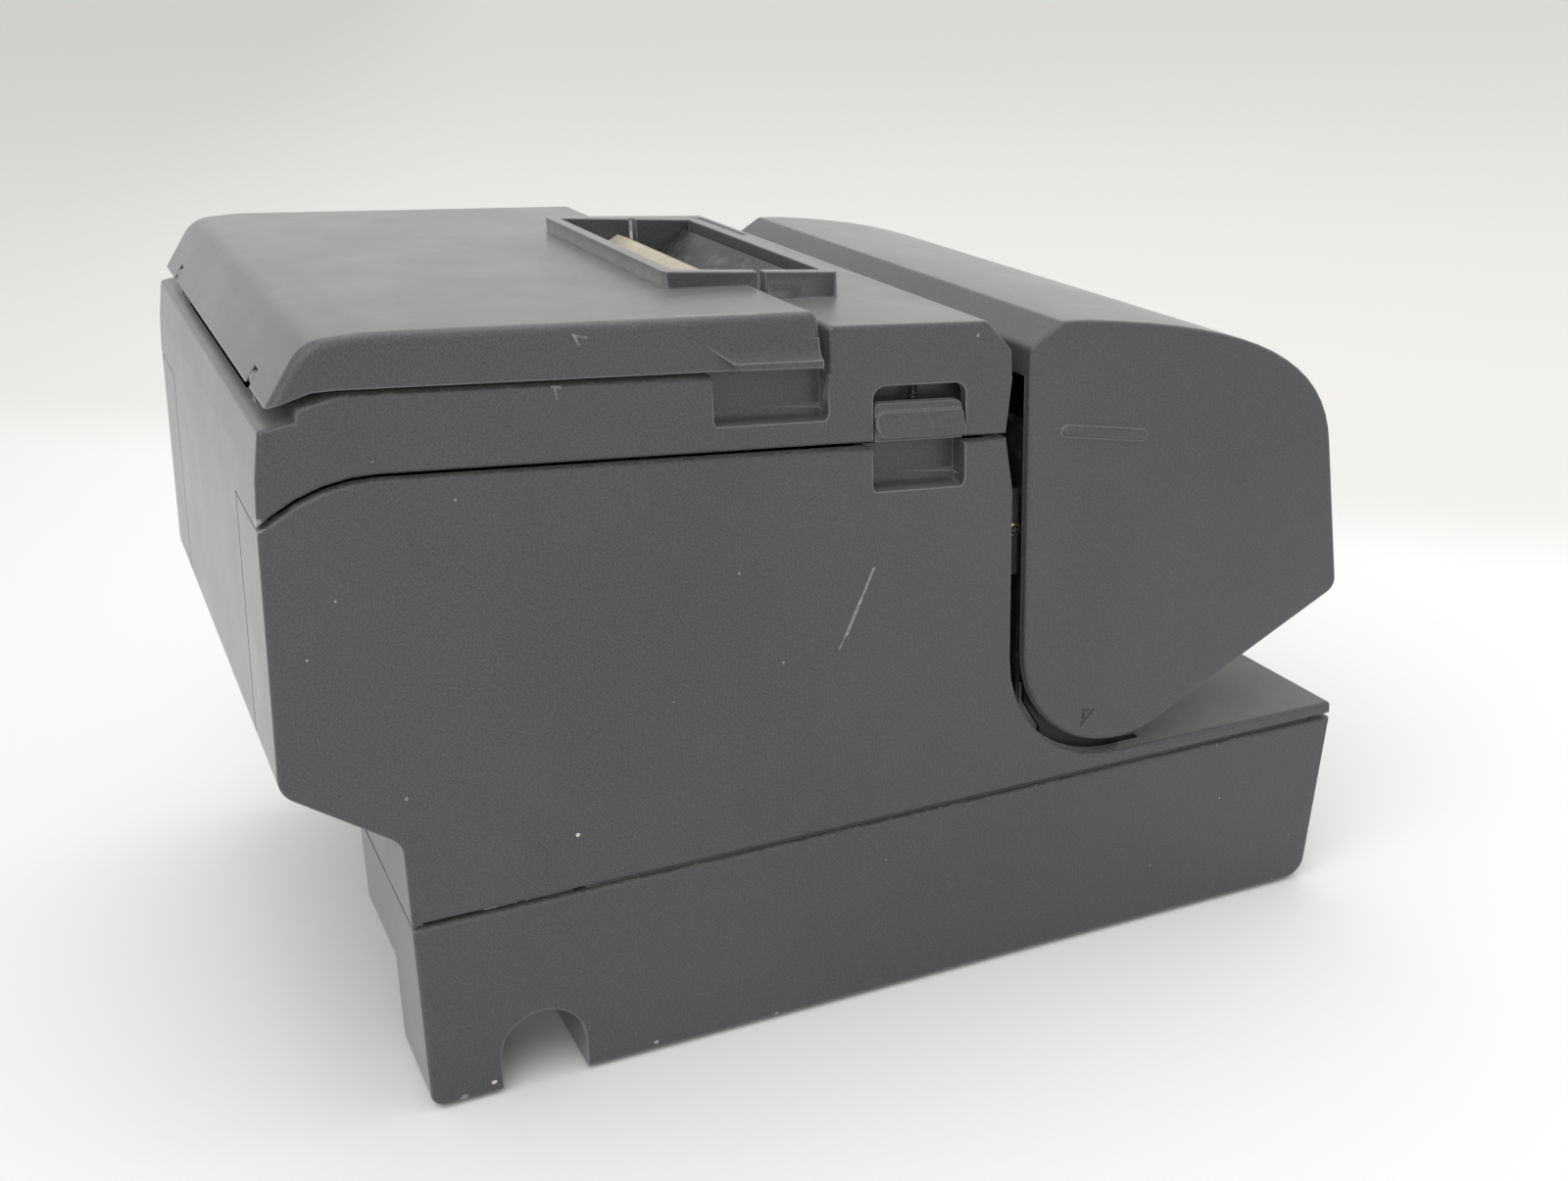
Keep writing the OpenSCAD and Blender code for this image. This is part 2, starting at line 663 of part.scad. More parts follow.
module slip_sensor_bracket() {
    color(steel) {
        block([-frame_in - 3.2, -41.6, 106], [-frame_in - 2, mid_front - 0.6, 128]);
    }
    color(brass) pin(-frame_in - 4.6, -frame_in - 3.2, [-39.9, 118], 1.4, 6);
}

// ---- front cover ----

module front_cover() {
    color(casing) difference() {
        union() {
            difference() {
                soft_block(cover_outline);
                across(-in_w, in_w) offset(delta = -wall) polygon(cover_outline);
                block([-in_w, -66, 50], [in_w, -30, 156]);
                for (s = [-1, 1]) block([s > 0 ? 84.8 : -in_w, -89, 50], [s > 0 ? in_w : -84.8, -60, 70]);
            }
            grip_rib(-1);
            grip_rib(1);
            for (s = [-1, 1]) pin(s > 0 ? in_w - 2.2 : -in_w - 0.5, s > 0 ? in_w + 0.5 : -in_w + 2.2,
                [hinge_y, hinge_z], 7);
        }
        for (s = [-1, 1]) pin(s > 0 ? in_w - 3 : -half_w + 0.8, s > 0 ? half_w - 0.8 : -in_w + 3,
            [hinge_y, hinge_z], 3 + running);
        top_mark(-1);
    }
}

// Raised finger rib on the side, thinning towards its ends.
module grip_rib(side) {
    x = side * half_w;
    hull() {
        for (p = [[-52.5, 141.7], [-74, 137.8]])
            translate([x - side * 0.4, p[0], p[1]]) sphere(r = 1.5, $fn = 20);
        for (p = [[-55.5, 141.2], [-71, 138.3]])
            translate([x + side * 0.3, p[0], p[1]]) sphere(r = 1.3, $fn = 20);
    }
}

// Small engraved triangle that shows where the cover turns.
module top_mark(side) {
    x = side * half_w;
    across(x - 0.3, x + 0.3) difference() {
        polygon([[-59.2, 67.9], [-63.1, 66.6], [-58.8, 62.6]]);
        polygon([[-60.0, 66.8], [-61.7, 66.3], [-59.8, 64.5]]);
    }
}

// ---- receipt unit ----

rim_x = [-57, 40];
rim_y = [-10, 35];
rim_t = 3.5;
function rim_top(y) = 178.5 + 0.1 * (y + 10);
window_y = [-25, -1];
window_z = [140, 157.2];
grip_y = [10, 37.7];

module unit_case() {
    color(casing) {
        difference() {
            union() {
                soft_block(unit_outline);
                rim(rim_y[0], unit_top_y1 - 0.1);
            }
            across(-in_w, in_w) offset(delta = -wall) polygon(unit_outline);
            across(-in_w, in_w) polygon([[-31.5, 140], [-31.5, 147], [118, 158], [134, 152],
                [134, 140]]);
            block([-56, 12, 150], [50, 131, 180]);
            block([-56, unit_top_y1 - 4, 150], [50, 20, 171]);
            block([rim_x[0] + rim_t, rim_y[0] + rim_t, 150], [rim_x[1] - rim_t, 20, 190]);
            latch_window();
            grip_pocket(-1);
            grip_pocket(1);
            panel_recess();
        }
        rear_panel();
        for (s = [-1, 1]) grip_liner(s);
        hinge_lugs();
        window_back();
    }
}

module rim(y0, y1) {
    intersection() {
        across(rim_x[0], rim_x[1]) polygon([[y0, 168], [y1, 168], [y1, rim_top(y1)],
            [y0, rim_top(y0)]]);
        linear_extrude(200) polygon(soften([[rim_x[0], rim_y[0], 2.2], [rim_x[1], rim_y[0], 2.2],
            [rim_x[1], rim_y[1], 2.2], [rim_x[0], rim_y[1], 2.2]]));
    }
}

// Panel that carries the receipt unit's skin down and round the lower rear corner.
module rear_panel() {
    skin = soften([[rear_y - 15, 60, 0], [rear_y, 70.2, 0], [rear_low[0], rear_low[1], 6],
        [rear_line(149), 149, 0], [rear_y - 15, 160, 0]]);
    intersection() {
        across(-panel_half, panel_half) difference() {
            polygon(skin);
            offset(delta = -wall) polygon(skin);
        }
        block([-panel_half - 1, panel_end_y, 70], [panel_half + 1, 150, 148.5]);
    }
}

module latch_window() {
    rise = (window_y[1] - window_y[0]) * lean;
    across(-half_w - 1, -in_w + 1) polygon(soften([[window_y[0], window_z[0], 0],
        [window_y[1], window_z[0], 0], [window_y[1], window_z[1] + rise, 3],
        [window_y[0], window_z[1], 3]]));
}

// Plate that closes the window behind the latch.
module window_back() {
    block([-half_w + pocket_d + 0.4, window_y[0] - 4, window_z[0] + 5.6],
        [-half_w + pocket_d + 1.6, window_y[1] + 4, window_z[1] + 4]);
    for (y = [window_y[0] - 4, window_y[1] + 4 - 1.2])
        block([-in_w - eps, y, window_z[0] + 9], [-half_w + pocket_d + 1.6, y + 1.2, window_z[1] + 4]);
    block([-in_w - eps, window_y[0] - 4, window_z[1] + 3],
        [-half_w + pocket_d + 1.6, window_y[1] + 4, window_z[1] + 4]);
}

// Hollow under the roll cover's finger ledge.
module grip_pocket(side) {
    finger_hollow(side, grip_y, 152.6, 172, 5);
}

module grip_liner(side) {
    x0 = side > 0 ? in_w - 4.2 : -in_w;
    difference() {
        across(x0, x0 + 4.2) polygon([[grip_y[0] - 0.3, 150.4], [grip_y[1] + 2, 150.4],
            [grip_y[1] + 2, cover_seam(38) - 2.4], [grip_y[0] - 0.3, cover_seam(10) - 2.4]]);
        grip_pocket(side);
    }
}

module hinge_lugs() {
    for (x = [-70, 66]) difference() {
        union() {
            pin(x, x + 4, roll_hinge, 1.9);
            block([x, roll_hinge[0] - 1.5, 166.5], [x + 4, roll_hinge[0] + 1.5, roll_hinge[1]]);
        }
        pin(x - 1, x + 5, roll_hinge, 1.1 + running, 32);
    }
}

panel_x = [48, 86];
panel_y = [-29, 4];
deck_slope = atan((174 - 170.7) / (unit_top_y1 + 31));

// Places its children on the sloping top of the receipt unit.
module on_deck() {
    translate([0, -31, 170.7]) rotate([deck_slope, 0, 0]) translate([0, 31, 0]) children();
}

module panel_recess() {
    on_deck() {
        block([panel_x[0], panel_y[0], -1.2], [panel_x[1], panel_y[1], 2]);
        for (b = button_at) block([b[0] - 5.2, b[1] - 3.2, -5], [b[0] + 5.2, b[1] + 3.2, 2]);
    }
}

button_at = [[57, -20], [57, -8], [77, -20]];

module panel_plate() {
    color(inner_dark) on_deck() difference() {
        block([panel_x[0] + 0.2, panel_y[0] + 0.2, -1.2], [panel_x[1] - 0.2, panel_y[1] - 0.2, -0.2]);
        for (b = button_at) block([b[0] - 5.2, b[1] - 3.2, -5], [b[0] + 5.2, b[1] + 3.2, 2]);
        for (i = [0:3]) translate([68 + 4 * i, -8, -3]) cylinder(h = 5, r = 1.1, $fn = 24);
    }
    color([0.3, 0.6, 0.3]) on_deck() for (i = [0:3])
        translate([68 + 4 * i, -8, -1.2]) cylinder(h = 1.1, r = 1, $fn = 24);
}

module button(b) {
    on_deck() block([b[0] - 4.9, b[1] - 2.9, -4.6], [b[0] + 4.9, b[1] + 2.9, 0.5]);
}

module receipt_feed_button() { color(casing) button(button_at[0]); }
module slip_feed_button() { color(casing) button(button_at[1]); }
module release_button() { color(casing) button(button_at[2]); }

tub_x = [paper_x - roll_w / 2, paper_x + roll_w / 2];
tub_t = 1.7;

module roll_tub() {
    color(inner_dark) difference() {
        across(tub_x[0] - tub_t, tub_x[1] + tub_t) intersection() {
            union() {
                translate(roll_c) circle(roll_r + tub_t, $fn = 96);
                translate([roll_c[0] - roll_r - tub_t, roll_c[1]]) square([2 * (roll_r + tub_t), 40]);
            }
            polygon([[0, 60], [130, 60], [130, cover_seam(130) - wall - 0.3],
                [0, cover_seam(0) - wall - 0.3]]);
        }
        across(tub_x[0], tub_x[1]) union() {
            translate(roll_c) circle(roll_r, $fn = 96);
            translate([roll_c[0] - roll_r, roll_c[1]]) square([2 * roll_r, 50]);
        }
        block([tub_x[0] - 5, 25, 137], [tub_x[1] + 5, 42, 200]);
    }
}

side_x = [tub_x[0] - tub_t - 1.9, tub_x[1] + tub_t + 0.4];

module unit_frame() {
    color(steel) {
        for (x = side_x) difference() {
            across(x, x + 1.5) polygon([[-28, 149], [8, 149], [16, 132], [40, 90], [62, 82],
                [100, 82], [120, 92], [131, 96], [132, 108], [124, 112], [122, 158], [40, 158],
                [34, 142], [18, 142], [12, 150], [8, 153.5], [-28, 153.5]]);
            pin(x - 1, x + 3, unit_hinge, 3 + running);
            pin(x - 1, x + 3, roll_c, 26);
        }
        block([side_x[0], -28, 149], [side_x[1] + 1.5, -26.8, 153.5]);
        at_nip() block([side_x[0] + eps, 10.5, -1], [side_x[1] + 1.5 - eps, 11.7, 8]);
    }
}

// Thermal head on its sloping heat sink, tangent to the platen.
nip_dir = 212;

module at_nip() {
    translate([0, platen_c[0], platen_c[1]]) rotate([nip_dir, 0, 0]) translate([0, platen_r + 0.3, 0])
        children();
}

module thermal_head() {
    x0 = side_x[0] + 1.5;
    x1 = side_x[1];
    color(steel) at_nip() {
        block([x0, 1, -6], [x1, 5, 9]);
        for (i = [0:7]) block([x0 + 4 + 11 * i, 5 - eps, -5], [x0 + 6 + 11 * i, 8.5, 8]);
    }
    color(cream) at_nip() block([x0 + 1, 0, -5], [x1 - 1, 1, 8]);
}

module head_springs() {
    color(steel) for (x = [-31, 13]) at_nip() translate([x, 5, 3]) rotate([-90, 0, 0])
        cylinder(h = 5.5, r = 2.4, $fn = 32);
}

cut_z = 161;

module cutter_body() {
    x0 = side_x[0] + 1.8;
    x1 = side_x[1] - 0.3;
    color(steel) difference() {
        block([x0, -24, 154], [x1, 4, cut_z + 2]);
        block([x0 + 2, -23, cut_z - 1.3], [x1 - 2, 5, cut_z + 0.3]);
    }
}

module cutter_blade() {
    color([0.85, 0.85, 0.87]) translate([0, 0, cut_z - 1]) linear_extrude(0.8) difference() {
        polygon([[side_x[0] + 4.2, -14], [side_x[1] - 2.8, -14], [side_x[1] - 2.8, 10.6], [paper_x, 6.6],
            [side_x[0] + 4.2, 10.6]]);
        for (x = [-30, 13]) translate([x, -4]) circle(2, $fn = 24);
    }
}

module paper_guide() {
    color(cream) across(rim_x[0] + rim_t + 0.3, rim_x[1] - rim_t - 0.3)
        polygon([[-6, 174], [-4.6, 176.4], [8.6, 167.6], [8.2, 164.2], [6.8, 164.2]]);
}

drive_teeth = 24;
platen_teeth = 18;
drive_mod = 1;
drive_c = platen_c - [0, (drive_teeth + platen_teeth) * drive_mod / 2 + 0.12];
drive_x = [side_x[1] + 2.6, side_x[1] + 7];

module platen_drive_gear() {
    color(cream) difference() {
        gear(drive_x[0], drive_x[1], drive_c, drive_teeth, drive_mod, 90, 2.5);
        pin(30, 60, drive_c, 2.5);
    }
    color(steel) pin(drive_x[0] - 0.8, drive_x[1], drive_c, 2.5, 32);
}

module feed_motor() {
    color(steel) {
        pin(drive_x[1] + 1.2, drive_x[1] + 22, drive_c, 11, 64);
        block([drive_x[1] + 0.4, 12, 112], [drive_x[1] + 1.2, 42, 144]);
        block([side_x[1] + 1.5, 28, 112], [drive_x[1] + 0.5, 42, 113]);
    }
}

module unit_latch() {
    y = [window_y[0] + 0.6, window_y[1] - 0.4];
    color(casing) {
        across(-half_w + 0.5, -in_w + 0.1) polygon(soften([[y[0], mid_seam(y[0]) + 0.9, 0.8],
            [y[1], mid_seam(y[1]) + 0.9, 0.8], [y[1], 155, 1.9], [y[0], 153.2, 2.6]]));
        intersection() {
            across(-half_w - 2, -half_w + 1) polygon(soften([[y[0], mid_seam(y[0]) + 1.3, 0.8],
                [y[1] - 0.5, mid_seam(y[1]) + 1.3, 0.8], [y[1] - 0.5, 154.2, 3],
                [y[0], 152.4, 2.6]]));
            scoop(-1, y, mid_seam(y[0]) + 0.9, 6.6, 1.5);
        }
        block([-in_w + 0.1 - eps, window_y[0] - 2, 147], [-in_w + 2.2, window_y[1] + 2, 152]);
    }
}

// Finger lip on a side wall: hollow above, with a flat edge at its foot.
module scoop(side, y, z, high, out) {
    edge = 1.9;
    arc = [for (i = [0:5]) let (a = 90 * i / 5)
        [side * out * (1 - sin(a)), edge + (high - edge) * (1 - cos(a))]];
    points = concat([[-side, 0], [side * (out - 0.3), 0], [side * out, 0.4]], arc,
        [[-side, high]]);
    translate([side * half_w, y[0] - 2, z - 2 * lean]) rotate([atan(lean), 0, 0])
        rotate([90, 0, 0]) mirror([0, 0, 1]) linear_extrude(y[1] - y[0] + 4)
            polygon(side < 0 ? [for (i = [len(points) - 1:-1:0]) points[i]] : points);
}

module latch_spring() {
    color(steel) translate([-in_w + 1.3, -13, 152]) cylinder(h = 8, r = 1.1, $fn = 24);
}

// ---- roll cover ----

module roll_cover() {
    color(casing) {
        difference() {
            union() {
                soft_block(roll_sides, r = cover_r, steps = 4);
                rim(cover_y0, rim_y[1]);
            }
            across(-half_w - 1, half_w + 1) polygon(roll_seam);
            across(-in_w + 0.3, in_w - 0.3) polygon([[cover_y0 + 2.2, 160], [cover_y0 + 2.2, 175.4],
                [111, top_z - 2.3], [120, top_z - 3], [128.2, 171], [128.2, 160]]);
            block([rim_x[0] + rim_t, cover_y0 - 2, 160], [rim_x[1] - rim_t, rim_y[1] - rim_t, 190]);
            for (x = [-70, 66]) block([x - 0.5, 124, 160], [x + 4.5, 140, 174.4]);
            for (x = [-72.5, 63.5]) pin(x - 2, x + 11, roll_hinge, 1.1, 32);
        }
        exit_well();
        finger_ledge(-1);
        finger_ledge(1);
    }
}

// Sloping back of the paper exit, down to the tear bar.
module exit_well() {
    across(rim_x[0] + rim_t, rim_x[1] - rim_t) polygon([[rim_y[1] - rim_t, 180.6],
        [rim_y[1] - rim_t, 177.2], [23, 168.2], [21.5, 170.2]]);
    for (x = [rim_x[0] + rim_t - 1.8, rim_x[1] - rim_t])
        across(x, x + 1.8) polygon([[cover_y0 + 2, 166], [30, 166], [34, 178], [cover_y0 + 2, 176]]);
}

module finger_ledge(side) {
    intersection() {
        scoop(side, [12, 38.5], 165.3, 6.6, 2.4);
        across(side * half_w - 4, side * half_w + 4) polygon([[12, 160], [31.5, 160], [31.5, 167],
            [33, 168.4], [38.3, 172.8], [38.3, 176], [12, 176]]);
    }
}

module cover_hinge_pins() {
    color(steel) for (x = [-73, 63]) pin(x, x + 10, roll_hinge, 1.1, 32);
}

// Bracket under the roll cover that holds the platen's bushes.
module platen_frame() {
    color(steel) {
        for (x = [tub_x[0] + 0.4, tub_x[1] - 1.9]) difference() {
            across(x, x + 1.5) polygon([[20, 158.5], [23.2, 146.5], [31, 145], [36, 152], [44, 161],
                [58, 174], [60, 177.5], [36, 175.5], [26, 166]]);
            pin(x - 1, x + 3, platen_c, 2.5 + running);
        }
        across(tub_x[0] + 0.4, tub_x[1] - 0.4) polygon([[36, 174.2], [60, 176.4], [60, 177.8], [36, 175.6]]);
    }
}

module platen_roller() {
    color(rubber) difference() {
        pin(tub_x[0] + 2.4, tub_x[1] - 2.4, platen_c, platen_r, 64);
        pin(tub_x[0], tub_x[1], platen_c, 2.5);
    }
    color(steel) pin(tub_x[0] - 0.8, drive_x[1], platen_c, 2.5);
    color(cream) gear(drive_x[0], drive_x[1], platen_c, platen_teeth, drive_mod,
        270 + 180 / platen_teeth, 2.5);
}

module fixed_blade() {
    color([0.85, 0.85, 0.87]) block([tub_x[0] + 2.4, 13, cut_z], [tub_x[1] - 2.4, 24, cut_z + 0.8]);
    color(steel) for (x = [tub_x[0] + 6, tub_x[1] - 14]) block([x, 18, cut_z + 0.8], [x + 8, 24, 168]);
}

module tear_bar() {
    color(cream) across(rim_x[0] + rim_t + 0.2, rim_x[1] - rim_t - 0.2)
        polygon([[14.5, 168.2], [22.4, 168.2], [21.3, 170.2], [15.5, 170.9]]);
    color([0.75, 0.72, 0.62]) for (x = [rim_x[0] + rim_t + 1:1.5:rim_x[1] - rim_t - 2.2])
        translate([x, 13.4, 168.6]) linear_extrude(1) polygon([[0, 1.3], [1.2, 1.3], [0.6, 0]]);
}

bottom_case();
rubber_feet();
base_plate();
logic_board();
connectors();
power_switch();
middle_case();
slip_guide();
unit_hinge_rod();
rod_brackets();
side_frame_left();
side_frame_right();
frame_tie_bar();
front_guide();
carriage_rod();
carriage_rail();
carriage_motor();
drive_pulley();
idler_pulley();
carriage_belt();
idler_bracket();
carriage();
print_head();
ribbon_cassette();
ribbon_knob();
lower_pinch_rollers();
upper_pinch_rollers();
slip_platen();
slip_motor();
motor_pinion();
idler_gear();
lower_feed_shaft();
upper_feed_shaft();
feed_shaft_plates();
slip_sensor_bracket();
case_screws();
front_cover();
unit_case();
roll_tub();
unit_frame();
thermal_head();
head_springs();
cutter_body();
cutter_blade();
feed_motor();
platen_drive_gear();
paper_guide();
unit_latch();
latch_spring();
panel_plate();
receipt_feed_button();
slip_feed_button();
release_button();
roll_cover();
cover_hinge_pins();
platen_frame();
platen_roller();
fixed_blade();
tear_bar();
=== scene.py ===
"""Receipt and slip printer: finishes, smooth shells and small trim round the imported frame."""

import json
import math

import bmesh
import bpy
from mathutils import Matrix, Vector


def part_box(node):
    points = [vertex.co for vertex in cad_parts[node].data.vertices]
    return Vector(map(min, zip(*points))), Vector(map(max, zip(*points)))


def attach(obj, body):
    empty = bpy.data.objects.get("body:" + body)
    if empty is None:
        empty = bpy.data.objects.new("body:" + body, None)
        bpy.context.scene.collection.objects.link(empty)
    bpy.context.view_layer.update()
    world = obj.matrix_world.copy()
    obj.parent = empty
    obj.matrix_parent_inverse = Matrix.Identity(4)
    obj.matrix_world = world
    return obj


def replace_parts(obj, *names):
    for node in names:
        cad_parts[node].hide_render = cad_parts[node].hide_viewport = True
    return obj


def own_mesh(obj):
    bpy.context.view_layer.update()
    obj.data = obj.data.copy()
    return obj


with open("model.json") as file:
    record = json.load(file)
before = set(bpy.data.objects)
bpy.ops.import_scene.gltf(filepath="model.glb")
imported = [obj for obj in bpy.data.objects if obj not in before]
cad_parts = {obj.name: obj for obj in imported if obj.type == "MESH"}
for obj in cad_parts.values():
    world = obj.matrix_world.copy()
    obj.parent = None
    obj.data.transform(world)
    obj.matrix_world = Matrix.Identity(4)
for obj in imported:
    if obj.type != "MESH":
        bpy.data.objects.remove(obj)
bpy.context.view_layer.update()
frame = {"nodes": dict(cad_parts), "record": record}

bl_info = {
    "name": "Receipt Printer",
    "version": (1, 0, 0),
    "blender": (4, 5, 0),
    "location": "View3D > Sidebar > Printer",
    "description": "Dresses a receipt and slip printer with moulded, metal and rubber finishes",
    "category": "Object",
}

MM = 0.001
NODES = frame["nodes"]
BODY_OF = {node: body for body, group in frame["record"]["behaviour"]["bodies"].items()
           for node in group}
SHELLS = ("bottom_case", "middle_case", "front_cover", "unit_case", "roll_cover")

# Sizes of the part that the trim is set out from, in mm
LEFT_WALL = -93
PLATEN = (0, 26, 150)
PLATEN_RADIUS = 6
NIP_ANGLE = math.radians(212)
DECK_FRONT, DECK_REAR = (-31, 170.7), (9.6, 174)
ROCKER = (62, -152, 22)
ROCKER_RADIUS = 15.5
SEAM_RISE = 0.0785
# left edge, right edge and height of each rear socket, and the foot that all stand on
SOCKETS = ((-50, -38, 11), (-26, -8, 13), (10, 44, 12), (56, 72, 14))
SOCKET_FOOT = 15.6
# A flat outline in (y, z) that is drawn out along x
ALONG_X = Matrix(((0, 0, 1, 0), (1, 0, 0, 0), (0, 1, 0, 0), (0, 0, 0, 1)))


# ---------------------------------------------------------------- sizes and colours


class PrinterFinish(bpy.types.PropertyGroup):
    """Colours and textures of the printer's materials."""

    casing: bpy.props.FloatVectorProperty(
        name="Casing", description="Colour of the moulded housing", subtype="COLOR",
        size=3, min=0, max=1, default=(0.040, 0.040, 0.0445))
    inner: bpy.props.FloatVectorProperty(
        name="Inner plastic", description="Colour of the dark inner mouldings", subtype="COLOR",
        size=3, min=0, max=1, default=(0.014, 0.014, 0.015))
    cream: bpy.props.FloatVectorProperty(
        name="Cream plastic", description="Colour of the tear bar", subtype="COLOR",
        size=3, min=0, max=1, default=(0.47, 0.42, 0.32))
    # This colour also lightens the flat tops of the casing as a painted sheen.
    dust: bpy.props.FloatVectorProperty(
        name="Dust", description="Colour of the dust in corners and on ledges", subtype="COLOR",
        size=3, min=0, max=1, default=(0.33, 0.30, 0.26))
    grain: bpy.props.FloatProperty(
        name="Grain", description="Width of one grain of the moulded texture",
        unit="LENGTH", min=0.0002, max=0.002, default=0.0005)
    grain_depth: bpy.props.FloatProperty(
        name="Grain depth", description="Depth of the moulded texture",
        unit="LENGTH", min=0, max=0.0002, default=0.00005)
    edge: bpy.props.FloatProperty(
        name="Edge radius", description="Radius of the broken edges of the mouldings",
        unit="LENGTH", min=0.0001, max=0.001, default=0.0007)


class PrinterStage(bpy.types.PropertyGroup):
    """Camera and light."""

    lens: bpy.props.FloatProperty(
        name="Lens", description="Focal length on a sensor 36 mm wide, in mm",
        min=20, max=120, default=41.835)
    eye: bpy.props.FloatVectorProperty(
        name="Camera place", description="Where the camera stands", size=3,
        subtype="XYZ", unit="LENGTH", default=(-0.45504, 0.17493, 0.26020))
    azimuth: bpy.props.FloatProperty(
        name="Azimuth", description="Direction of view, from +X towards +Y",
        subtype="ANGLE", default=math.radians(-22.856))
    tilt: bpy.props.FloatProperty(
        name="Tilt", description="Angle of view above the horizon, so below it when negative",
        subtype="ANGLE", default=math.radians(-20.413))
    roll: bpy.props.FloatProperty(
        name="Roll", description="Turn of the camera about its own axis",
        subtype="ANGLE", default=math.radians(-1.769))
    horizon: bpy.props.FloatProperty(
        name="Horizon", description="Strength of the soft light near the horizon",
        min=0, max=2, default=0.78)
    zenith: bpy.props.FloatProperty(
        name="Zenith", description="Strength of the soft light overhead",
        min=0, max=2, default=1.12)


# ---------------------------------------------------------------- meshes


def raw_piece(name, bm, body, material):
    """A finished mesh as a piece that rides on a body."""
    mesh = bpy.data.meshes.new(name)
    bm.to_mesh(mesh)
    bm.free()
    piece = bpy.data.objects.new(name, mesh)
    bpy.context.scene.collection.objects.link(piece)
    mesh.materials.append(material)
    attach(piece, body)
    return piece


def smooth_off(piece, angle=35):
    """Smooth shading, with edges sharper than the angle kept crisp."""
    for face in piece.data.polygons:
        face.use_smooth = True
    piece.data.set_sharp_from_angle(angle=math.radians(angle))


def break_edges(piece, width, segments=3, angle=28):
    """Narrow round on every edge of a small moulding."""
    bevel = piece.modifiers.new("Edges", "BEVEL")
    bevel.width = width
    bevel.segments = segments
    bevel.limit_method = "ANGLE"
    bevel.angle_limit = math.radians(angle)


def solid_of(node):
    """The node's own solid, with its flat faces whole again."""
    bm = bmesh.new()
    bm.from_mesh(NODES[node].data)
    bmesh.ops.remove_doubles(bm, verts=bm.verts, dist=0.002 * MM)
    bmesh.ops.dissolve_degenerate(bm, edges=bm.edges, dist=0.001 * MM)
    bmesh.ops.dissolve_limit(
        bm, angle_limit=math.radians(0.4), verts=bm.verts, edges=bm.edges)
    return bm


def smooth_skin(node, material, width=0.0):
    """A node's solid with true smooth shading, in place of the node, its edges broken by width."""
    piece = raw_piece(node + "_skin", solid_of(node), BODY_OF[node], material)
    smooth_off(piece)
    if width:
        break_edges(piece, width)
    normals = piece.modifiers.new("Normals", "WEIGHTED_NORMAL")
    normals.keep_sharp = True
    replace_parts(piece, node)


def prism(bm, outline, low, high, place=None):
    """Closed prism over a flat outline, from low to high, then moved by place."""
    place = place or Matrix.Identity(4)
    rings = [[bm.verts.new(place @ Vector((x, y, z))) for x, y in outline] for z in (low, high)]
    bm.faces.new(reversed(rings[0]))
    bm.faces.new(rings[1])
    for i in range(len(outline)):
        j = (i + 1) % len(outline)
        bm.faces.new((rings[0][i], rings[0][j], rings[1][j], rings[1][i]))


def circle(radius, count=24):
    return [(radius * math.cos(math.tau * i / count),
             radius * math.sin(math.tau * i / count)) for i in range(count)]


def turned(bm, profile, place):
    """Body of revolution about Z through the profile's points (radius, height)."""
    rings, count = [], 24
    for radius, height in profile:
        if radius < 1e-7:
            rings.append([bm.verts.new(place @ Vector((0, 0, height)))])
        else:
            rings.append([bm.verts.new(place @ Vector((x, y, height))) for x, y in circle(radius)])
    for low, high in zip(rings, rings[1:]):
        for i in range(count):
            j = (i + 1) % count
            unique = list(dict.fromkeys((low[i % len(low)], low[j % len(low)],
                                         high[j % len(high)], high[i % len(high)])))
            if len(unique) > 2:
                bm.faces.new(unique)


def screw_head(bm, place, radius, height):
    """Low round head with a cross recess, its outer face towards +Z."""
    turned(bm, [(0, -0.02 * MM), (radius, -0.02 * MM), (radius, 0.45 * height),
                (0.88 * radius, 0.8 * height), (0.72 * radius, 0.94 * height)], place)
    rim = [bm.verts.new(place @ Vector((x, y, height))) for x, y in circle(0.72 * radius)]
    a, w = 0.55 * radius, 0.17 * radius
    cross = [(a, -w), (a, w), (w, w), (w, a), (-w, a), (-w, w), (-a, w), (-a, -w), (-w, -w),
             (-w, -a), (w, -a), (w, -w)]
    top, low = ([bm.verts.new(place @ Vector((x * k, y * k, z))) for x, y in cross]
                for k, z in ((1.0, height), (0.8, 0.35 * height)))
    edges = [bm.edges.new((ring[i], ring[(i + 1) % len(ring)]))
             for ring in (rim, top) for i in range(len(ring))]
    bmesh.ops.triangle_fill(bm, edges=edges, use_beauty=True)
    for i in range(len(cross)):
        j = (i + 1) % len(cross)
        bm.faces.new((top[i], top[j], low[j], low[i]))
    bm.faces.new(low)
    bmesh.ops.remove_doubles(bm, verts=bm.verts, dist=0.001 * MM)


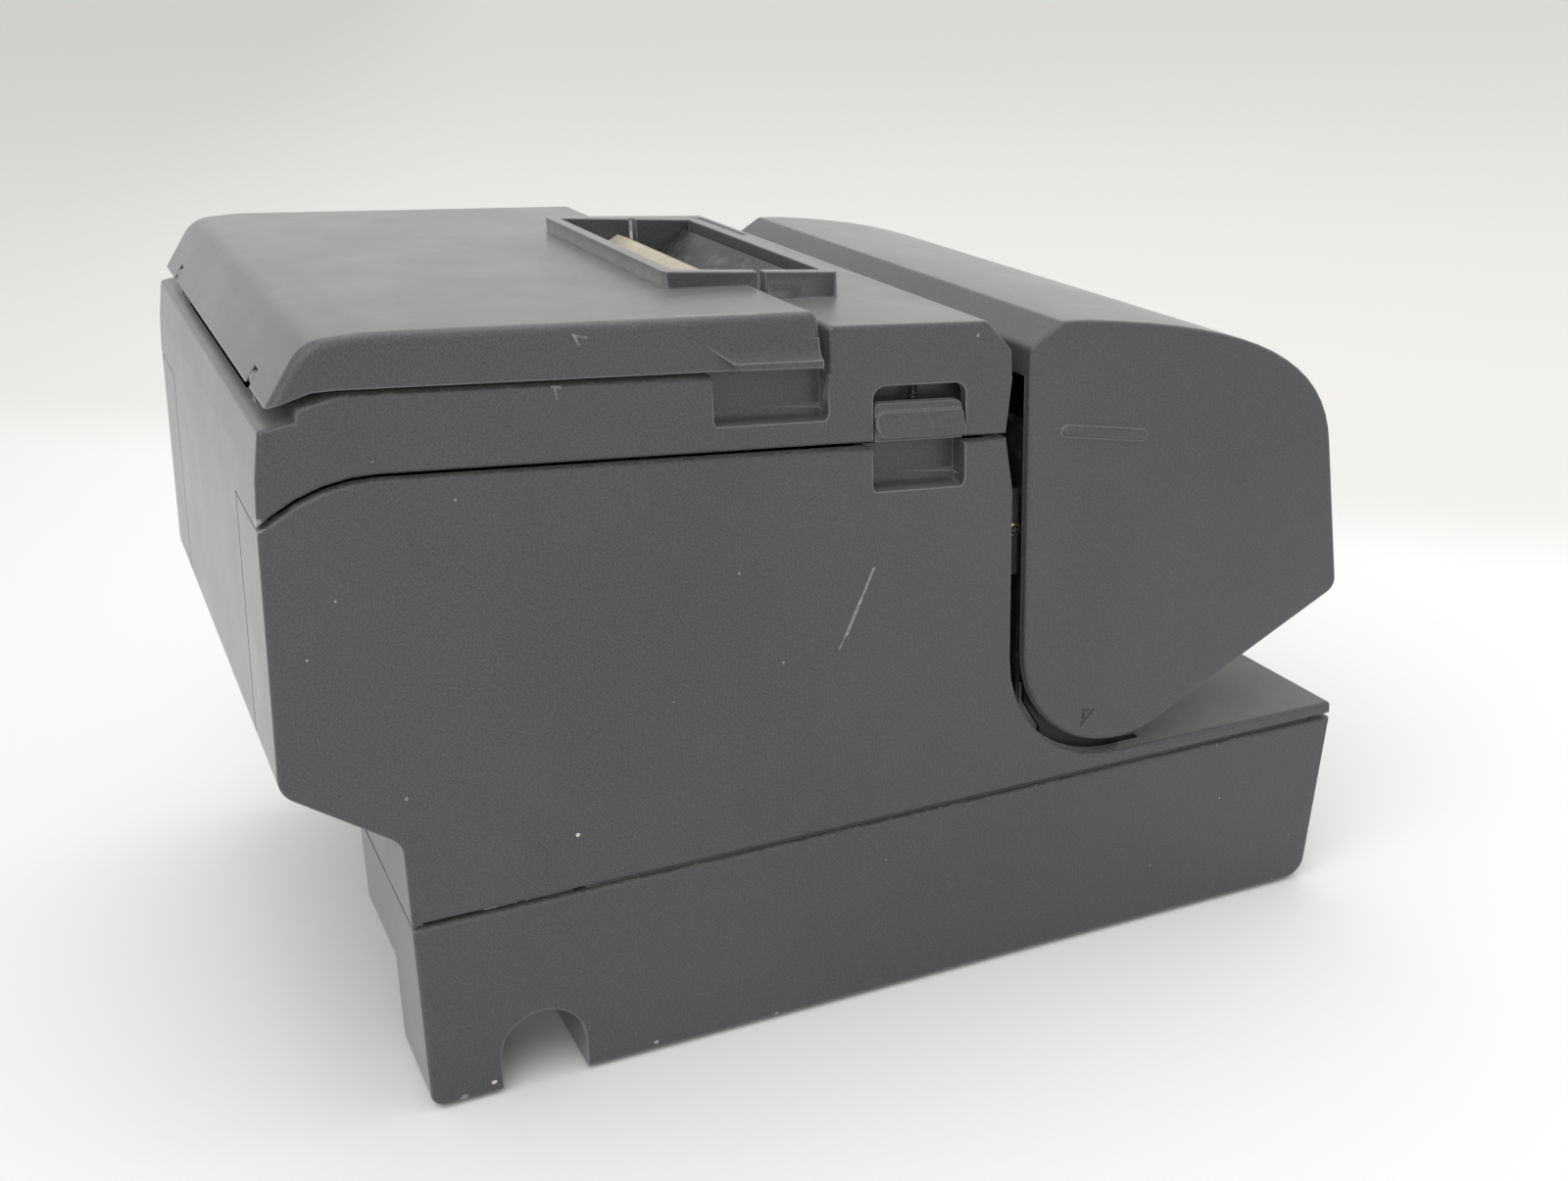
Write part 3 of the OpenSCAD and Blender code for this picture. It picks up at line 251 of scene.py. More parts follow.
def coil(bm, start, way, radius, wire, length, turns):
    """Compression spring from start along way, with its end turns closed."""
    sides, steps = 8, 20
    turned_to = Vector(way).normalized().to_track_quat("Z", "Y").to_matrix()
    count = turns * steps
    rings = []
    for i in range(count + 1):
        share = i / count
        eased = share + 0.06 * math.sin(math.tau * share)
        angle = math.tau * turns * share
        spoke = Vector((math.cos(angle), math.sin(angle), 0))
        centre = spoke * radius + Vector((0, 0, wire + (length - 2 * wire) * eased))
        rings.append([bm.verts.new(Vector(start) + turned_to @ (
            centre + spoke * wire * math.cos(b) + Vector((0, 0, wire * math.sin(b)))))
            for b in (math.tau * k / sides for k in range(sides))])
    for a, b in zip(rings, rings[1:]):
        for k in range(sides):
            bm.faces.new((a[k], a[(k + 1) % sides], b[(k + 1) % sides], b[k]))
    bm.faces.new(rings[0])
    bm.faces.new(list(reversed(rings[-1])))


def small_piece(name, bm, body, material, angle=35):
    """A piece made here in mesh code, shaded smooth up to the angle."""
    bmesh.ops.recalc_face_normals(bm, faces=bm.faces)
    piece = raw_piece(name, bm, body, material)
    smooth_off(piece, angle)
    return piece


def dress(material, *nodes):
    """A new finish for CAD nodes whose shape is already right."""
    for node in nodes:
        piece = NODES[node]
        piece.data.materials.clear()
        piece.data.materials.append(material)


# ---------------------------------------------------------------- node helpers


LOOKS = {}


class Tree:
    """Short hand for the node tree of one material, kept by name in LOOKS."""

    def __init__(self, name):
        self.name = name
        self.material = bpy.data.materials.new(name)
        self.material.use_nodes = True
        self.tree = self.material.node_tree
        self.tree.nodes.clear()
        self.coords = self.add("ShaderNodeTexCoord")
        self.place = self.coords.outputs["Object"]

    def add(self, kind, inputs=None, **settings):
        node = self.tree.nodes.new(kind)
        for key, value in settings.items():
            setattr(node, key, value)
        for key, value in (inputs or {}).items():
            self.put(node.inputs[key], value)
        return node

    def put(self, socket, value):
        if isinstance(value, bpy.types.NodeSocket):
            self.tree.links.new(value, socket)
        elif socket.type == "RGBA":
            socket.default_value = (*tuple(value)[:3], 1)
        else:
            socket.default_value = value

    def noise(self, scale, detail=2.0, roughness=0.5, place=None):
        node = self.add("ShaderNodeTexNoise", {
            "Vector": place or self.place, "Scale": scale, "Detail": detail,
            "Roughness": roughness})
        return node.outputs["Fac"]

    def math(self, kind, a, b=0.0, clamp=False):
        node = self.add("ShaderNodeMath", operation=kind, use_clamp=clamp)
        self.put(node.inputs[0], a)
        self.put(node.inputs[1], b)
        return node.outputs[0]

    def ramp(self, value, low, high, bottom=0.0, top=1.0):
        """Value moved from low..high to bottom..top, held at both ends."""
        node = self.add("ShaderNodeMapRange", {
            "Value": value, "From Min": low, "From Max": high, "To Min": bottom,
            "To Max": top}, interpolation_type="SMOOTHSTEP")
        return node.outputs[0]

    def blend(self, amount, a, b):
        node = self.add("ShaderNodeMix", data_type="RGBA")
        self.put(node.inputs["Factor"], amount)
        self.put(node.inputs[6], a)
        self.put(node.inputs[7], b)
        return node.outputs[2]

    def bump(self, height, distance, strength=1.0, normal=None):
        node = self.add("ShaderNodeBump", {
            "Height": height, "Distance": distance, "Strength": strength})
        if normal is not None:
            self.put(node.inputs["Normal"], normal)
        return node.outputs["Normal"]

    def close(self, **inputs):
        """Principled shader and the output."""
        shader = self.add("ShaderNodeBsdfPrincipled")
        for key, value in inputs.items():
            self.put(shader.inputs[key.replace("_", " ")], value)
        out = self.add("ShaderNodeOutputMaterial")
        self.tree.links.new(shader.outputs[0], out.inputs["Surface"])
        LOOKS[self.name] = self.material
        return self.material


def tinted(colour, factor):
    return tuple(min(1.0, c * factor) for c in colour)


# ---------------------------------------------------------------- materials


def line_mark(t, wall, start, end, width):
    """1 along a segment in mm, on the left wall as (y, z) or on the top as (x, y), else 0."""
    first, second = ("Y", "Z") if wall == "left" else ("X", "Y")
    a, b = Vector(start) * MM, Vector(end) * MM
    run = b - a
    split = t.add("ShaderNodeSeparateXYZ", {"Vector": t.place})
    u = t.math("SUBTRACT", split.outputs[first], a.x)
    v = t.math("SUBTRACT", split.outputs[second], a.y)
    share = t.math("DIVIDE", t.math("ADD", t.math("MULTIPLY", u, run.x),
                                    t.math("MULTIPLY", v, run.y)), run.length_squared, True)
    du = t.math("SUBTRACT", u, t.math("MULTIPLY", share, run.x))
    dv = t.math("SUBTRACT", v, t.math("MULTIPLY", share, run.y))
    far = t.math("SQRT", t.math("ADD", t.math("MULTIPLY", du, du), t.math("MULTIPLY", dv, dv)))
    line = t.ramp(far, width * MM, width * 0.3 * MM)
    if wall == "left":
        there = t.math("LESS_THAN", split.outputs["X"], (LEFT_WALL + 3) * MM)
    else:
        there = t.math("GREATER_THAN", split.outputs["Z"], 172 * MM)
    return t.math("MULTIPLY", line, there)


def worn_spot(t, centre, radius):
    """1 inside a small rough-edged patch round a point, in mm."""
    away = t.add("ShaderNodeVectorMath", operation="DISTANCE")
    t.put(away.inputs[0], t.place)
    away.inputs[1].default_value = Vector(centre) * MM
    ragged = t.math("MULTIPLY", t.math("SUBTRACT", t.noise(900, 3, 0.7), 0.5), 1.6 * radius * MM)
    return t.ramp(t.math("ADD", away.outputs["Value"], ragged), radius * MM, 0.75 * radius * MM)


def casing_plastic(finish, lines, spots):
    """Fine-grained dark moulding, with dust on its ledges, outer edges lightened as wear and as a
    painted highlight, and seams painted near black as shade.
    """
    t = Tree("case_plastic")
    grain = t.noise(1 / finish.grain, 3, 0.6)
    pits = t.add("ShaderNodeTexVoronoi", {"Vector": t.place, "Scale": 0.7 / finish.grain},
                 feature="SMOOTH_F1").outputs["Distance"]
    cloud = t.noise(9, 3, 0.55)
    smear = t.noise(38, 4, 0.6)
    tone = t.math("ADD", t.ramp(cloud, 0.3, 0.7, 0.0, 0.25), t.ramp(grain, 0.36, 0.64, 0.0, 0.75))
    colour = t.blend(tone, tinted(finish.casing, 0.60), tinted(finish.casing, 1.40))
    colour = t.blend(t.math("MULTIPLY", t.ramp(smear, 0.55, 0.8), 0.08), colour,
                     tinted(finish.casing, 1.7))
    rounded = t.add("ShaderNodeBevel", {"Radius": finish.edge}, samples=6).outputs[0]
    # Outer edges blended toward a pale tint of the casing: partly wear, partly a painted highlight
    # where the rounded edges would catch light.
    edge_wear_and_highlight_amount = t.math("MULTIPLY", edge_wear_and_highlight(t, rounded), 0.75)
    colour = t.blend(edge_wear_and_highlight_amount, colour, tinted(finish.casing, 5.5))
    colour = dust_and_top_sheen(t, colour, finish.dust, smear)
    colour = scratched(t, colour, lines, spots)

    # Painted shade: where the occlusion is deep, in seams and narrow gaps between the parts, the
    # colour goes near black and the surface rougher.
    seam = t.add("ShaderNodeAmbientOcclusion", {"Distance": 1.8 * MM}, samples=4).outputs["AO"]
    painted_seam_shade = t.ramp(seam, 0.56, 0.30)
    colour = t.blend(painted_seam_shade, colour, (0.002, 0.002, 0.002))
    rough = t.math("SUBTRACT", t.ramp(smear, 0.35, 0.8, 0.46, 0.40),
                   t.math("MULTIPLY", grazing(t), 0.14))
    height = t.math("ADD", t.math("MULTIPLY", grain, 0.7), t.math("MULTIPLY", pits, 0.5))
    return t.close(Base_Color=colour, Roughness=t.math("ADD", rough, t.math("MULTIPLY", painted_seam_shade, 0.5)),
                   IOR=1.62, Sheen_Weight=0.22, Sheen_Roughness=0.4,
                   Normal=t.bump(height, finish.grain_depth, 0.8, rounded))


def dust_and_top_sheen(t, colour, dust, smear):
    """Dust in the upward corners, a thin film on flat tops that is dust and partly a painted sheen
    lightening the tops, and lone specks.
    """
    shade = t.add("ShaderNodeAmbientOcclusion", {"Distance": 5 * MM}, samples=6).outputs["AO"]
    upward = t.add("ShaderNodeSeparateXYZ", {
        "Vector": t.coords.outputs["Normal"]}).outputs["Z"]
    nook = t.math("MULTIPLY", t.ramp(shade, 0.80, 0.45), t.ramp(upward, 0.25, 0.8))
    crumbs = t.ramp(t.noise(1100, 2, 0.5), 0.60, 0.66)
    haze = t.ramp(t.noise(160, 4, 0.7), 0.42, 0.66)
    dusty = t.math("MULTIPLY", nook, t.math("ADD", t.math("MULTIPLY", haze, 0.22),
                                            t.math("MULTIPLY", crumbs, 0.5)), True)
    colour = t.blend(dusty, colour, dust)
    # Flat tops lightened toward the dust colour: partly dust, partly a painted sheen.
    film = t.math("MULTIPLY", t.ramp(upward, 0.86, 0.99, 0.0, 0.13),
                  t.ramp(smear, 0.3, 0.7, 0.7, 1.0))
    colour = t.blend(film, colour, dust)
    return t.blend(t.math("MULTIPLY", lone_specks(t), 0.6), colour, tinted(dust, 1.4))


def scratched(t, colour, lines, spots):
    """Scratches and worn spots, each in its own colour."""
    broken = t.ramp(t.noise(700, 3, 0.7), 0.35, 0.6, 0.3)
    for wall, start, end, width, amount, mark in lines:
        streak = t.math("MULTIPLY", line_mark(t, wall, start, end, width), amount)
        colour = t.blend(t.math("MULTIPLY", streak, broken), colour, mark)
    for centre, radius, amount, mark in spots:
        colour = t.blend(t.math("MULTIPLY", worn_spot(t, centre, radius), amount), colour, mark)
    return colour


def grazing(t):
    """1 where the surface is seen along its face: a fine texture shines more there."""
    facing = t.add("ShaderNodeLayerWeight", {"Blend": 0.5}).outputs["Facing"]
    return t.ramp(facing, 0.55, 0.90)


def edge_wear_and_highlight(t, rounded):
    """1 on the outer edges of a moulding, where hands rub it and where a painted highlight is laid."""
    facing = t.add("ShaderNodeVectorMath", operation="DOT_PRODUCT")
    t.put(facing.inputs[0], rounded)
    t.put(facing.inputs[1], t.add("ShaderNodeNewGeometry").outputs["Normal"])
    return t.ramp(facing.outputs["Value"], 0.985, 0.90)


def lone_specks(t):
    """1 on small specks: a few larger ones wide apart, and finer ones between them."""
    found = 0.0
    for scale, size, share, amount in ((85, 0.028, 0.45, 1.0), (270, 0.052, 0.35, 0.5)):
        cells = t.add("ShaderNodeTexVoronoi", {"Vector": t.place, "Scale": scale})
        chance = t.add("ShaderNodeSeparateColor", {"Color": cells.outputs["Color"]}).outputs["Red"]
        dot = t.math("MULTIPLY", t.ramp(cells.outputs["Distance"], size, 0.6 * size), amount)
        here = t.math("MULTIPLY", dot, t.math("LESS_THAN", chance, share))
        found = t.math("MAXIMUM", here, found)
    return found


def inner_plastic(finish):
    """Smooth black moulding with faint flow marks."""
    t = Tree("inner_plastic")
    flow = t.noise(45, 3, 0.5)
    fine = t.noise(1800, 2, 0.5)
    dusty = t.math("MULTIPLY", t.ramp(t.noise(210, 4, 0.7), 0.5, 0.72), 0.18)
    colour = t.blend(t.ramp(flow, 0.3, 0.7), finish.inner, tinted(finish.inner, 1.6))
    colour = t.blend(dusty, colour, finish.dust)
    return t.close(Base_Color=colour, Roughness=t.ramp(flow, 0.3, 0.7, 0.38, 0.5),
                   Normal=t.bump(fine, 0.01 * MM, 0.7))


def rubber(name, colour, ground):
    """Rubber, moulded or ground round its axis."""
    t = Tree(name)
    stretched = t.add("ShaderNodeMapping", {"Vector": t.place, "Scale": (2600, 300, 300) if ground
                                            else (700, 700, 700)}).outputs[0]
    grind = t.noise(1, 3, 0.6, stretched)
    wear = t.noise(70, 3, 0.6)
    shade = t.blend(t.ramp(wear, 0.35, 0.7), colour, tinted(colour, 1.8))
    return t.close(Base_Color=shade, Roughness=t.ramp(grind, 0.3, 0.7, 0.62, 0.82),
                   Normal=t.bump(grind, 0.03 * MM, 0.6))


def plated_steel():
    """Zinc-plated sheet: faint spangle, rolling lines and a few rubs."""
    t = Tree("plated_steel")
    spangle = t.add("ShaderNodeTexVoronoi", {"Vector": t.place, "Scale": 160}).outputs["Color"]
    lines = t.noise(1, 3, 0.6, t.add("ShaderNodeMapping", {
        "Vector": t.place, "Scale": (180, 180, 2400)}).outputs[0])
    rub = t.noise(55, 4, 0.65)
    colour = t.blend(t.ramp(spangle, 0.0, 1.0), (0.50, 0.51, 0.53), (0.63, 0.64, 0.66))
    colour = t.blend(t.math("MULTIPLY", t.ramp(rub, 0.55, 0.75), 0.5), colour, (0.40, 0.39, 0.37))
    return t.close(Base_Color=colour, Metallic=1.0,
                   Roughness=t.ramp(t.math("ADD", lines, rub), 0.7, 1.3, 0.26, 0.46),
                   Normal=t.bump(lines, 0.01 * MM, 0.5))


def painted_shade_steel():
    """Sheet painted near black as the shade inside the slot, worn to a warmer grey in places."""
    t = Tree("painted_shade_steel")
    wear = t.noise(70, 4, 0.65)
    fine = t.noise(1600, 2, 0.5)
    colour = t.blend(t.ramp(wear, 0.45, 0.75), (0.010, 0.010, 0.011), (0.030, 0.028, 0.026))
    return t.close(Base_Color=colour, Metallic=0.2, Roughness=t.ramp(wear, 0.3, 0.7, 0.38, 0.55),
                   Normal=t.bump(fine, 0.01 * MM, 0.6))


def bright_steel(name, colour, low, high, lay):
    """Ground bar and blade steel, with grinding lines along one axis."""
    t = Tree(name)
    lines = t.noise(1, 2, 0.5, t.add("ShaderNodeMapping", {
        "Vector": t.place, "Scale": lay}).outputs[0])
    haze = t.noise(60, 3, 0.6)
    shade = t.blend(t.ramp(haze, 0.35, 0.7), colour, tinted(colour, 0.82))
    return t.close(Base_Color=shade, Metallic=1.0, Roughness=t.ramp(lines, 0.3, 0.7, low, high),
                   Normal=t.bump(lines, 0.006 * MM, 0.5))


def milky_plastic(name, colour):
    """Natural acetal and cream mouldings: a little light passes through."""
    t = Tree(name)
    cloud = t.noise(90, 3, 0.5)
    fine = t.noise(1500, 2, 0.5)
    grey = t.ramp(t.noise(260, 4, 0.7), 0.52, 0.72)
    shade = t.blend(t.ramp(cloud, 0.35, 0.7), colour, tinted(colour, 0.86))
    shade = t.blend(t.math("MULTIPLY", grey, 0.35), shade, tinted(colour, 0.4))
    return t.close(Base_Color=shade, Roughness=0.42, Subsurface_Weight=0.08,
                   Subsurface_Radius=(0.9 * MM, 0.7 * MM, 0.5 * MM),
                   Normal=t.bump(fine, 0.01 * MM, 0.6))


def circuit_board():
    """Green solder mask over fine tracks, with tinned pads."""
    t = Tree("board")
    tracks = t.add("ShaderNodeTexBrick", {
        "Vector": t.place, "Scale": 210, "Mortar Size": 0.09, "Color1": (1, 1, 1),
        "Color2": (1, 1, 1), "Mortar": (0, 0, 0), "Brick Width": 2.4, "Row Height": 0.34},
        offset=0.37).outputs["Fac"]
    pads = t.add("ShaderNodeTexVoronoi", {"Vector": t.place, "Scale": 330},
                 feature="F1", distance="CHEBYCHEV").outputs["Distance"]
    pad = t.ramp(pads, 0.20, 0.17)
    some = t.ramp(t.noise(60, 1), 0.55, 0.6)
    pad = t.math("MULTIPLY", pad, some)
    green = t.blend(tracks, (0.010, 0.085, 0.040), (0.018, 0.150, 0.070))
    colour = t.blend(pad, green, (0.62, 0.62, 0.60))
    return t.close(Base_Color=colour, Metallic=pad, Roughness=t.ramp(pad, 0, 1, 0.28, 0.35),
                   Normal=t.bump(t.math("ADD", tracks, pad), 0.03 * MM, 0.6))


def panel_film():
    """Satin film over the control panel."""
    t = Tree("panel")
    fine = t.noise(2400, 2, 0.5)
    haze = t.noise(50, 3, 0.6)
    colour = t.blend(t.ramp(haze, 0.35, 0.7), (0.020, 0.021, 0.023), (0.030, 0.031, 0.034))
    return t.close(Base_Color=colour, Roughness=t.ramp(haze, 0.3, 0.7, 0.30, 0.42),
                   Normal=t.bump(fine, 0.01 * MM, 0.5))


def lens_plastic(name, tint):
    """Tinted clear plastic of an indicator that isn't lit."""
    t = Tree(name)
    haze = t.noise(900, 2, 0.5)
    colour = t.blend(t.ramp(haze, 0.3, 0.7), tint, tinted(tint, 1.4))
    return t.close(Base_Color=colour, Roughness=t.ramp(haze, 0.3, 0.7, 0.10, 0.18),
                   Transmission_Weight=0.35, IOR=1.49)


def printed_ink():
    """Pale printed ink with a slightly broken surface."""
    t = Tree("printed_ink")
    wear = t.noise(2200, 3, 0.6)
    colour = t.blend(t.ramp(wear, 0.35, 0.65), (0.50, 0.50, 0.49), (0.66, 0.66, 0.64))
    return t.close(Base_Color=colour, Roughness=0.6, Normal=t.bump(wear, 0.004 * MM, 0.5))


def along(t, start, way):
    """Distance from start towards way, on the floor."""
    place = t.add("ShaderNodeSeparateXYZ", {"Vector": t.place})
    way = Vector(way).normalized()
    x = t.math("MULTIPLY", t.math("SUBTRACT", place.outputs["X"], start[0]), way.x)
    y = t.math("MULTIPLY", t.math("SUBTRACT", place.outputs["Y"], start[1]), way.y)
    return t.math("ADD", x, y)


def pale_card(near, far, shaded):
    """Matt white card: its far part and its rear side are painted a little greyer, as painted shade
    where a backdrop would fall darker.
    """
    t = Tree("pale_card")
    edge, way = (0.0805, -0.4000), (0.5909, -0.5740)
    colour = t.blend(t.ramp(along(t, edge, way), -0.05, 0.07), near, far)
    # Painted shade on the rear side of the floor.
    side = t.ramp(along(t, (0, 0), (0.25, 0.97)), 0.02, 0.55)
    colour = t.blend(t.math("MULTIPLY", side, 0.8), colour, shaded)
    return t.close(Base_Color=colour, Roughness=0.9, Specular_IOR_Level=0.1)


def daylight(horizon, zenith):
    """Soft light from all round, a little stronger overhead."""
    world = bpy.data.worlds.new("daylight")
    world.use_nodes = True
    tree = world.node_tree
    place = tree.nodes.new("ShaderNodeTexCoord")
    split = tree.nodes.new("ShaderNodeSeparateXYZ")
    lift = tree.nodes.new("ShaderNodeMapRange")
    for socket, value in (("To Min", horizon), ("To Max", zenith)):
        lift.inputs[socket].default_value = value
    tree.links.new(place.outputs["Generated"], split.inputs[0])
    tree.links.new(split.outputs["Z"], lift.inputs["Value"])
    tree.links.new(lift.outputs[0], tree.nodes["Background"].inputs["Strength"])
    tree.nodes["Background"].inputs["Color"].default_value = (1, 0.995, 0.98, 1)
    return world


# ---------------------------------------------------------------- marks on the casing


PALE_RUB, DARK_RUB, SPECK = (0.34, 0.35, 0.37), (0.012, 0.012, 0.013), (0.62, 0.56, 0.44)
# wall, start, end and half width in mm, strength and colour of each scratch
SCRATCHES = (
    ("left", (-0.7, 115.5), (4.2, 105.2), 0.45, 0.62, PALE_RUB),
    ("left", (3.0, 107.8), (6.6, 100.2), 0.60, 0.50, PALE_RUB),
    ("left", (5.8, 102.0), (8.6, 96.9), 0.30, 0.50, PALE_RUB),
    ("left", (50.6, 144.6), (49.3, 114.6), 0.16, 0.45, DARK_RUB),
    ("left", (68.2, 178.9), (67.2, 176.8), 0.42, 0.45, PALE_RUB),
    ("left", (68.0, 178.6), (65.4, 178.0), 0.40, 0.35, PALE_RUB),
    ("left", (67.0, 178.2), (67.0, 177.2), 0.50, 0.55, DARK_RUB),
    ("left", (73.6, 168.4), (71.6, 168.1), 0.34, 0.40, PALE_RUB),
    ("left", (73.0, 168.2), (72.7, 165.8), 0.34, 0.38, PALE_RUB),
    ("top", (-4.8, 49.2), (-21.6, 53.9), 0.30, 0.55, DARK_RUB),
    ("top", (-21.6, 53.9), (-43.5, 55.2), 0.30, 0.60, DARK_RUB),
    ("top", (-43.5, 55.2), (-61.8, 52.3), 0.30, 0.50, DARK_RUB),
    ("top", (-89.4, 44.0), (-90.6, 26.0), 0.70, 0.55, PALE_RUB),
)
# place, radius in mm, strength and colour of each worn spot
WORN_SPOTS = (
    ((-92.4, 137.4, 147.6), 2.2, 0.85, (0.24, 0.27, 0.29)),
    ((-93.0, 75.4, 63.4), 0.55, 0.95, SPECK),
    ((-93.0, 100.2, 4.0), 0.60, 0.90, SPECK),
    ((-93.0, 107.5, 1.9), 1.10, 0.50, PALE_RUB),
    ((-93.0, 59.8, 3.0), 0.55, 0.75, PALE_RUB),
    ((-93.0, 27.8, 1.6), 0.60, 0.75, PALE_RUB),
    ((-93.0, 113.2, 81.4), 0.55, 0.40, PALE_RUB),
    ((-93.0, -28.0, 167.8), 0.45, 0.50, PALE_RUB),
)


# ---------------------------------------------------------------- operators


class PRINTER_OT_shells(bpy.types.Operator):
    """Smooths the moulded shells of the housing and gives them their finish"""

    bl_idname = "printer.shells"
    bl_label = "Housing shells"

    def execute(self, context):
        finish = context.scene.printer_finish
        plastic = casing_plastic(finish, SCRATCHES, WORN_SPOTS)
        for node in SHELLS:
            smooth_skin(node, plastic)
        dress(plastic, "slip_guide")
        return {"FINISHED"}


class PRINTER_OT_metal(bpy.types.Operator):
    """Finishes the sheet metal, rods and blades"""

    bl_idname = "printer.metal"
    bl_label = "Metal parts"

    def execute(self, context):
        # Side frames, bracket and plates painted near black as the shade inside the slot.
        dress(painted_shade_steel(), "side_frame_left", "side_frame_right", "slip_sensor_bracket",
              "feed_shaft_plates")
        dress(plated_steel(), "base_plate", "frame_tie_bar", "rod_brackets", "unit_frame",
              "platen_frame", "carriage_motor", "slip_motor", "feed_motor", "carriage_rail",
              "connectors", "idler_bracket")
        rod = bright_steel("rod_steel", (0.66, 0.66, 0.67), 0.14, 0.26, (40, 2200, 2200))
        dress(rod, "carriage_rod", "unit_hinge_rod", "cover_hinge_pins")
        blade = bright_steel("blade_steel", (0.55, 0.55, 0.56), 0.18, 0.34, (2600, 160, 160))
        dress(blade, "cutter_blade", "fixed_blade")
        dress(bright_steel("heatsink", (0.55, 0.56, 0.57), 0.30, 0.45, (120, 1800, 1800)),
              "thermal_head")
        dress(bright_steel("pinion_brass", (0.62, 0.44, 0.17), 0.22, 0.36, (60, 1800, 1800)),
              "motor_pinion")
        return {"FINISHED"}


class PRINTER_OT_mouldings(bpy.types.Operator):
    """Finishes the inner mouldings, gears, rollers and feet"""

    bl_idname = "printer.mouldings"
    bl_label = "Inner parts"

    def execute(self, context):
        finish = context.scene.printer_finish
        dress(inner_plastic(finish), "power_switch", "front_guide", "carriage", "print_head",
              "ribbon_cassette", "slip_platen", "roll_tub", "cutter_body", "paper_guide",
              "upper_pinch_rollers", "lower_pinch_rollers")
        dress(milky_plastic("gear_plastic", (0.72, 0.70, 0.64)), "drive_pulley", "idler_pulley",
              "idler_gear", "platen_drive_gear", "ribbon_knob")
        milky_plastic("cream_plastic", finish.cream)
        dress(rubber("feet_rubber", (0.018, 0.018, 0.018), False), "rubber_feet", "carriage_belt")
        dress(rubber("roller_rubber", (0.022, 0.022, 0.023), True), "platen_roller",
              "lower_feed_shaft", "upper_feed_shaft")
        dress(circuit_board(), "logic_board")
        return {"FINISHED"}


class PRINTER_OT_panel(bpy.types.Operator):
    """Breaks the buttons' edges and finishes the control panel"""

    bl_idname = "printer.panel"
    bl_label = "Control panel"

    def execute(self, context):
        finish = context.scene.printer_finish
        dress(panel_film(), "panel_plate")
        cap = inner_plastic(finish)
        cap.name = "button_plastic"
        for node in ("receipt_feed_button", "slip_feed_button", "release_button"):
            smooth_skin(node, cap, finish.edge)
        return {"FINISHED"}


class PRINTER_OT_latch(bpy.types.Operator):
    """Makes the side latch's lever, with its hooked finger lip"""

    bl_idname = "printer.latch"
    bl_label = "Side latch"

    def execute(self, context):
        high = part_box("unit_latch")[1]
        wall = LEFT_WALL * MM
        front, rear = -24.4 * MM, -1.5 * MM
        bm = bmesh.new()
        outline = []
        # y, z in mm and radius in mm of the plate's corners
        corners = ((front, 143.9, 0.6), (rear, 145.7, 0.6), (rear, 155.0, 1.9), (front, 153.2, 2.4))
        points = [Vector((y, z * MM)) for y, z, _ in corners]
        for i, (y, z, radius) in enumerate(corners):
            here = points[i]
            before, after = points[i - 1] - here, points[(i + 1) % len(points)] - here
            a = here + before.normalized() * radius * MM
            b = here + after.normalized() * radius * MM
            for k in range(6):
                share = k / 5
                outline.append((1 - share) ** 2 * a + 2 * share * (1 - share) * here + share ** 2 * b)
        prism(bm, outline, wall + 0.5 * MM, wall + 2.6 * MM, ALONG_X)
        inset = 1.2 * MM
        prism(bm, [(front - inset, 147.2 * MM), (rear + inset, 147.2 * MM),
                   (rear + inset, 151.8 * MM), (front - inset, 151.8 * MM)],
              wall + 2.6 * MM, high[0], ALONG_X)
        self.lip(bm, wall, front, rear)
        piece = small_piece("latch_lever", bm, "unit_latch",
                            LOOKS["case_plastic"])
        break_edges(piece, 0.25 * MM, 2, 40)
        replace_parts(piece, "unit_latch")
        return {"FINISHED"}

    def lip(self, bm, wall, front, rear):
        """Hook for the fingertip: hollow above, full at its foot, round at its ends."""
        height, proud, foot, steps = 6.2 * MM, 1.45 * MM, 1.9 * MM, 28
        rows = []
        for i in range(steps + 1):
            up = height * i / steps
            if up < foot:
                out = proud - 0.35 * MM * max(0.0, 1 - up / (0.5 * MM)) ** 2
            else:
                out = proud * (1 - math.sin(math.pi / 2 * (up - foot) / (height - foot)))
            ends = []
            for r in (1.2 * MM, 2.9 * MM):
                deep = min(up, height - up, r)
                ends.append(r - math.sqrt(max(0.0, r * r - (r - deep) ** 2)))
            a, b = front + ends[0], rear - ends[1]
            rows.append([(x, y, 145.0 * MM + up + SEAM_RISE * (y - front))
                         for x, y in ((wall - out, a), (wall - out, b), (wall + 0.6 * MM, b),
                                      (wall + 0.6 * MM, a))])
        rings = [[bm.verts.new(Vector(v)) for v in row] for row in rows]
        bm.faces.new(rings[0])
        bm.faces.new(rings[-1])
        for a, b in zip(rings, rings[1:]):
            for k in range(4):
                bm.faces.new((a[k], a[(k + 1) % 4], b[(k + 1) % 4], b[k]))


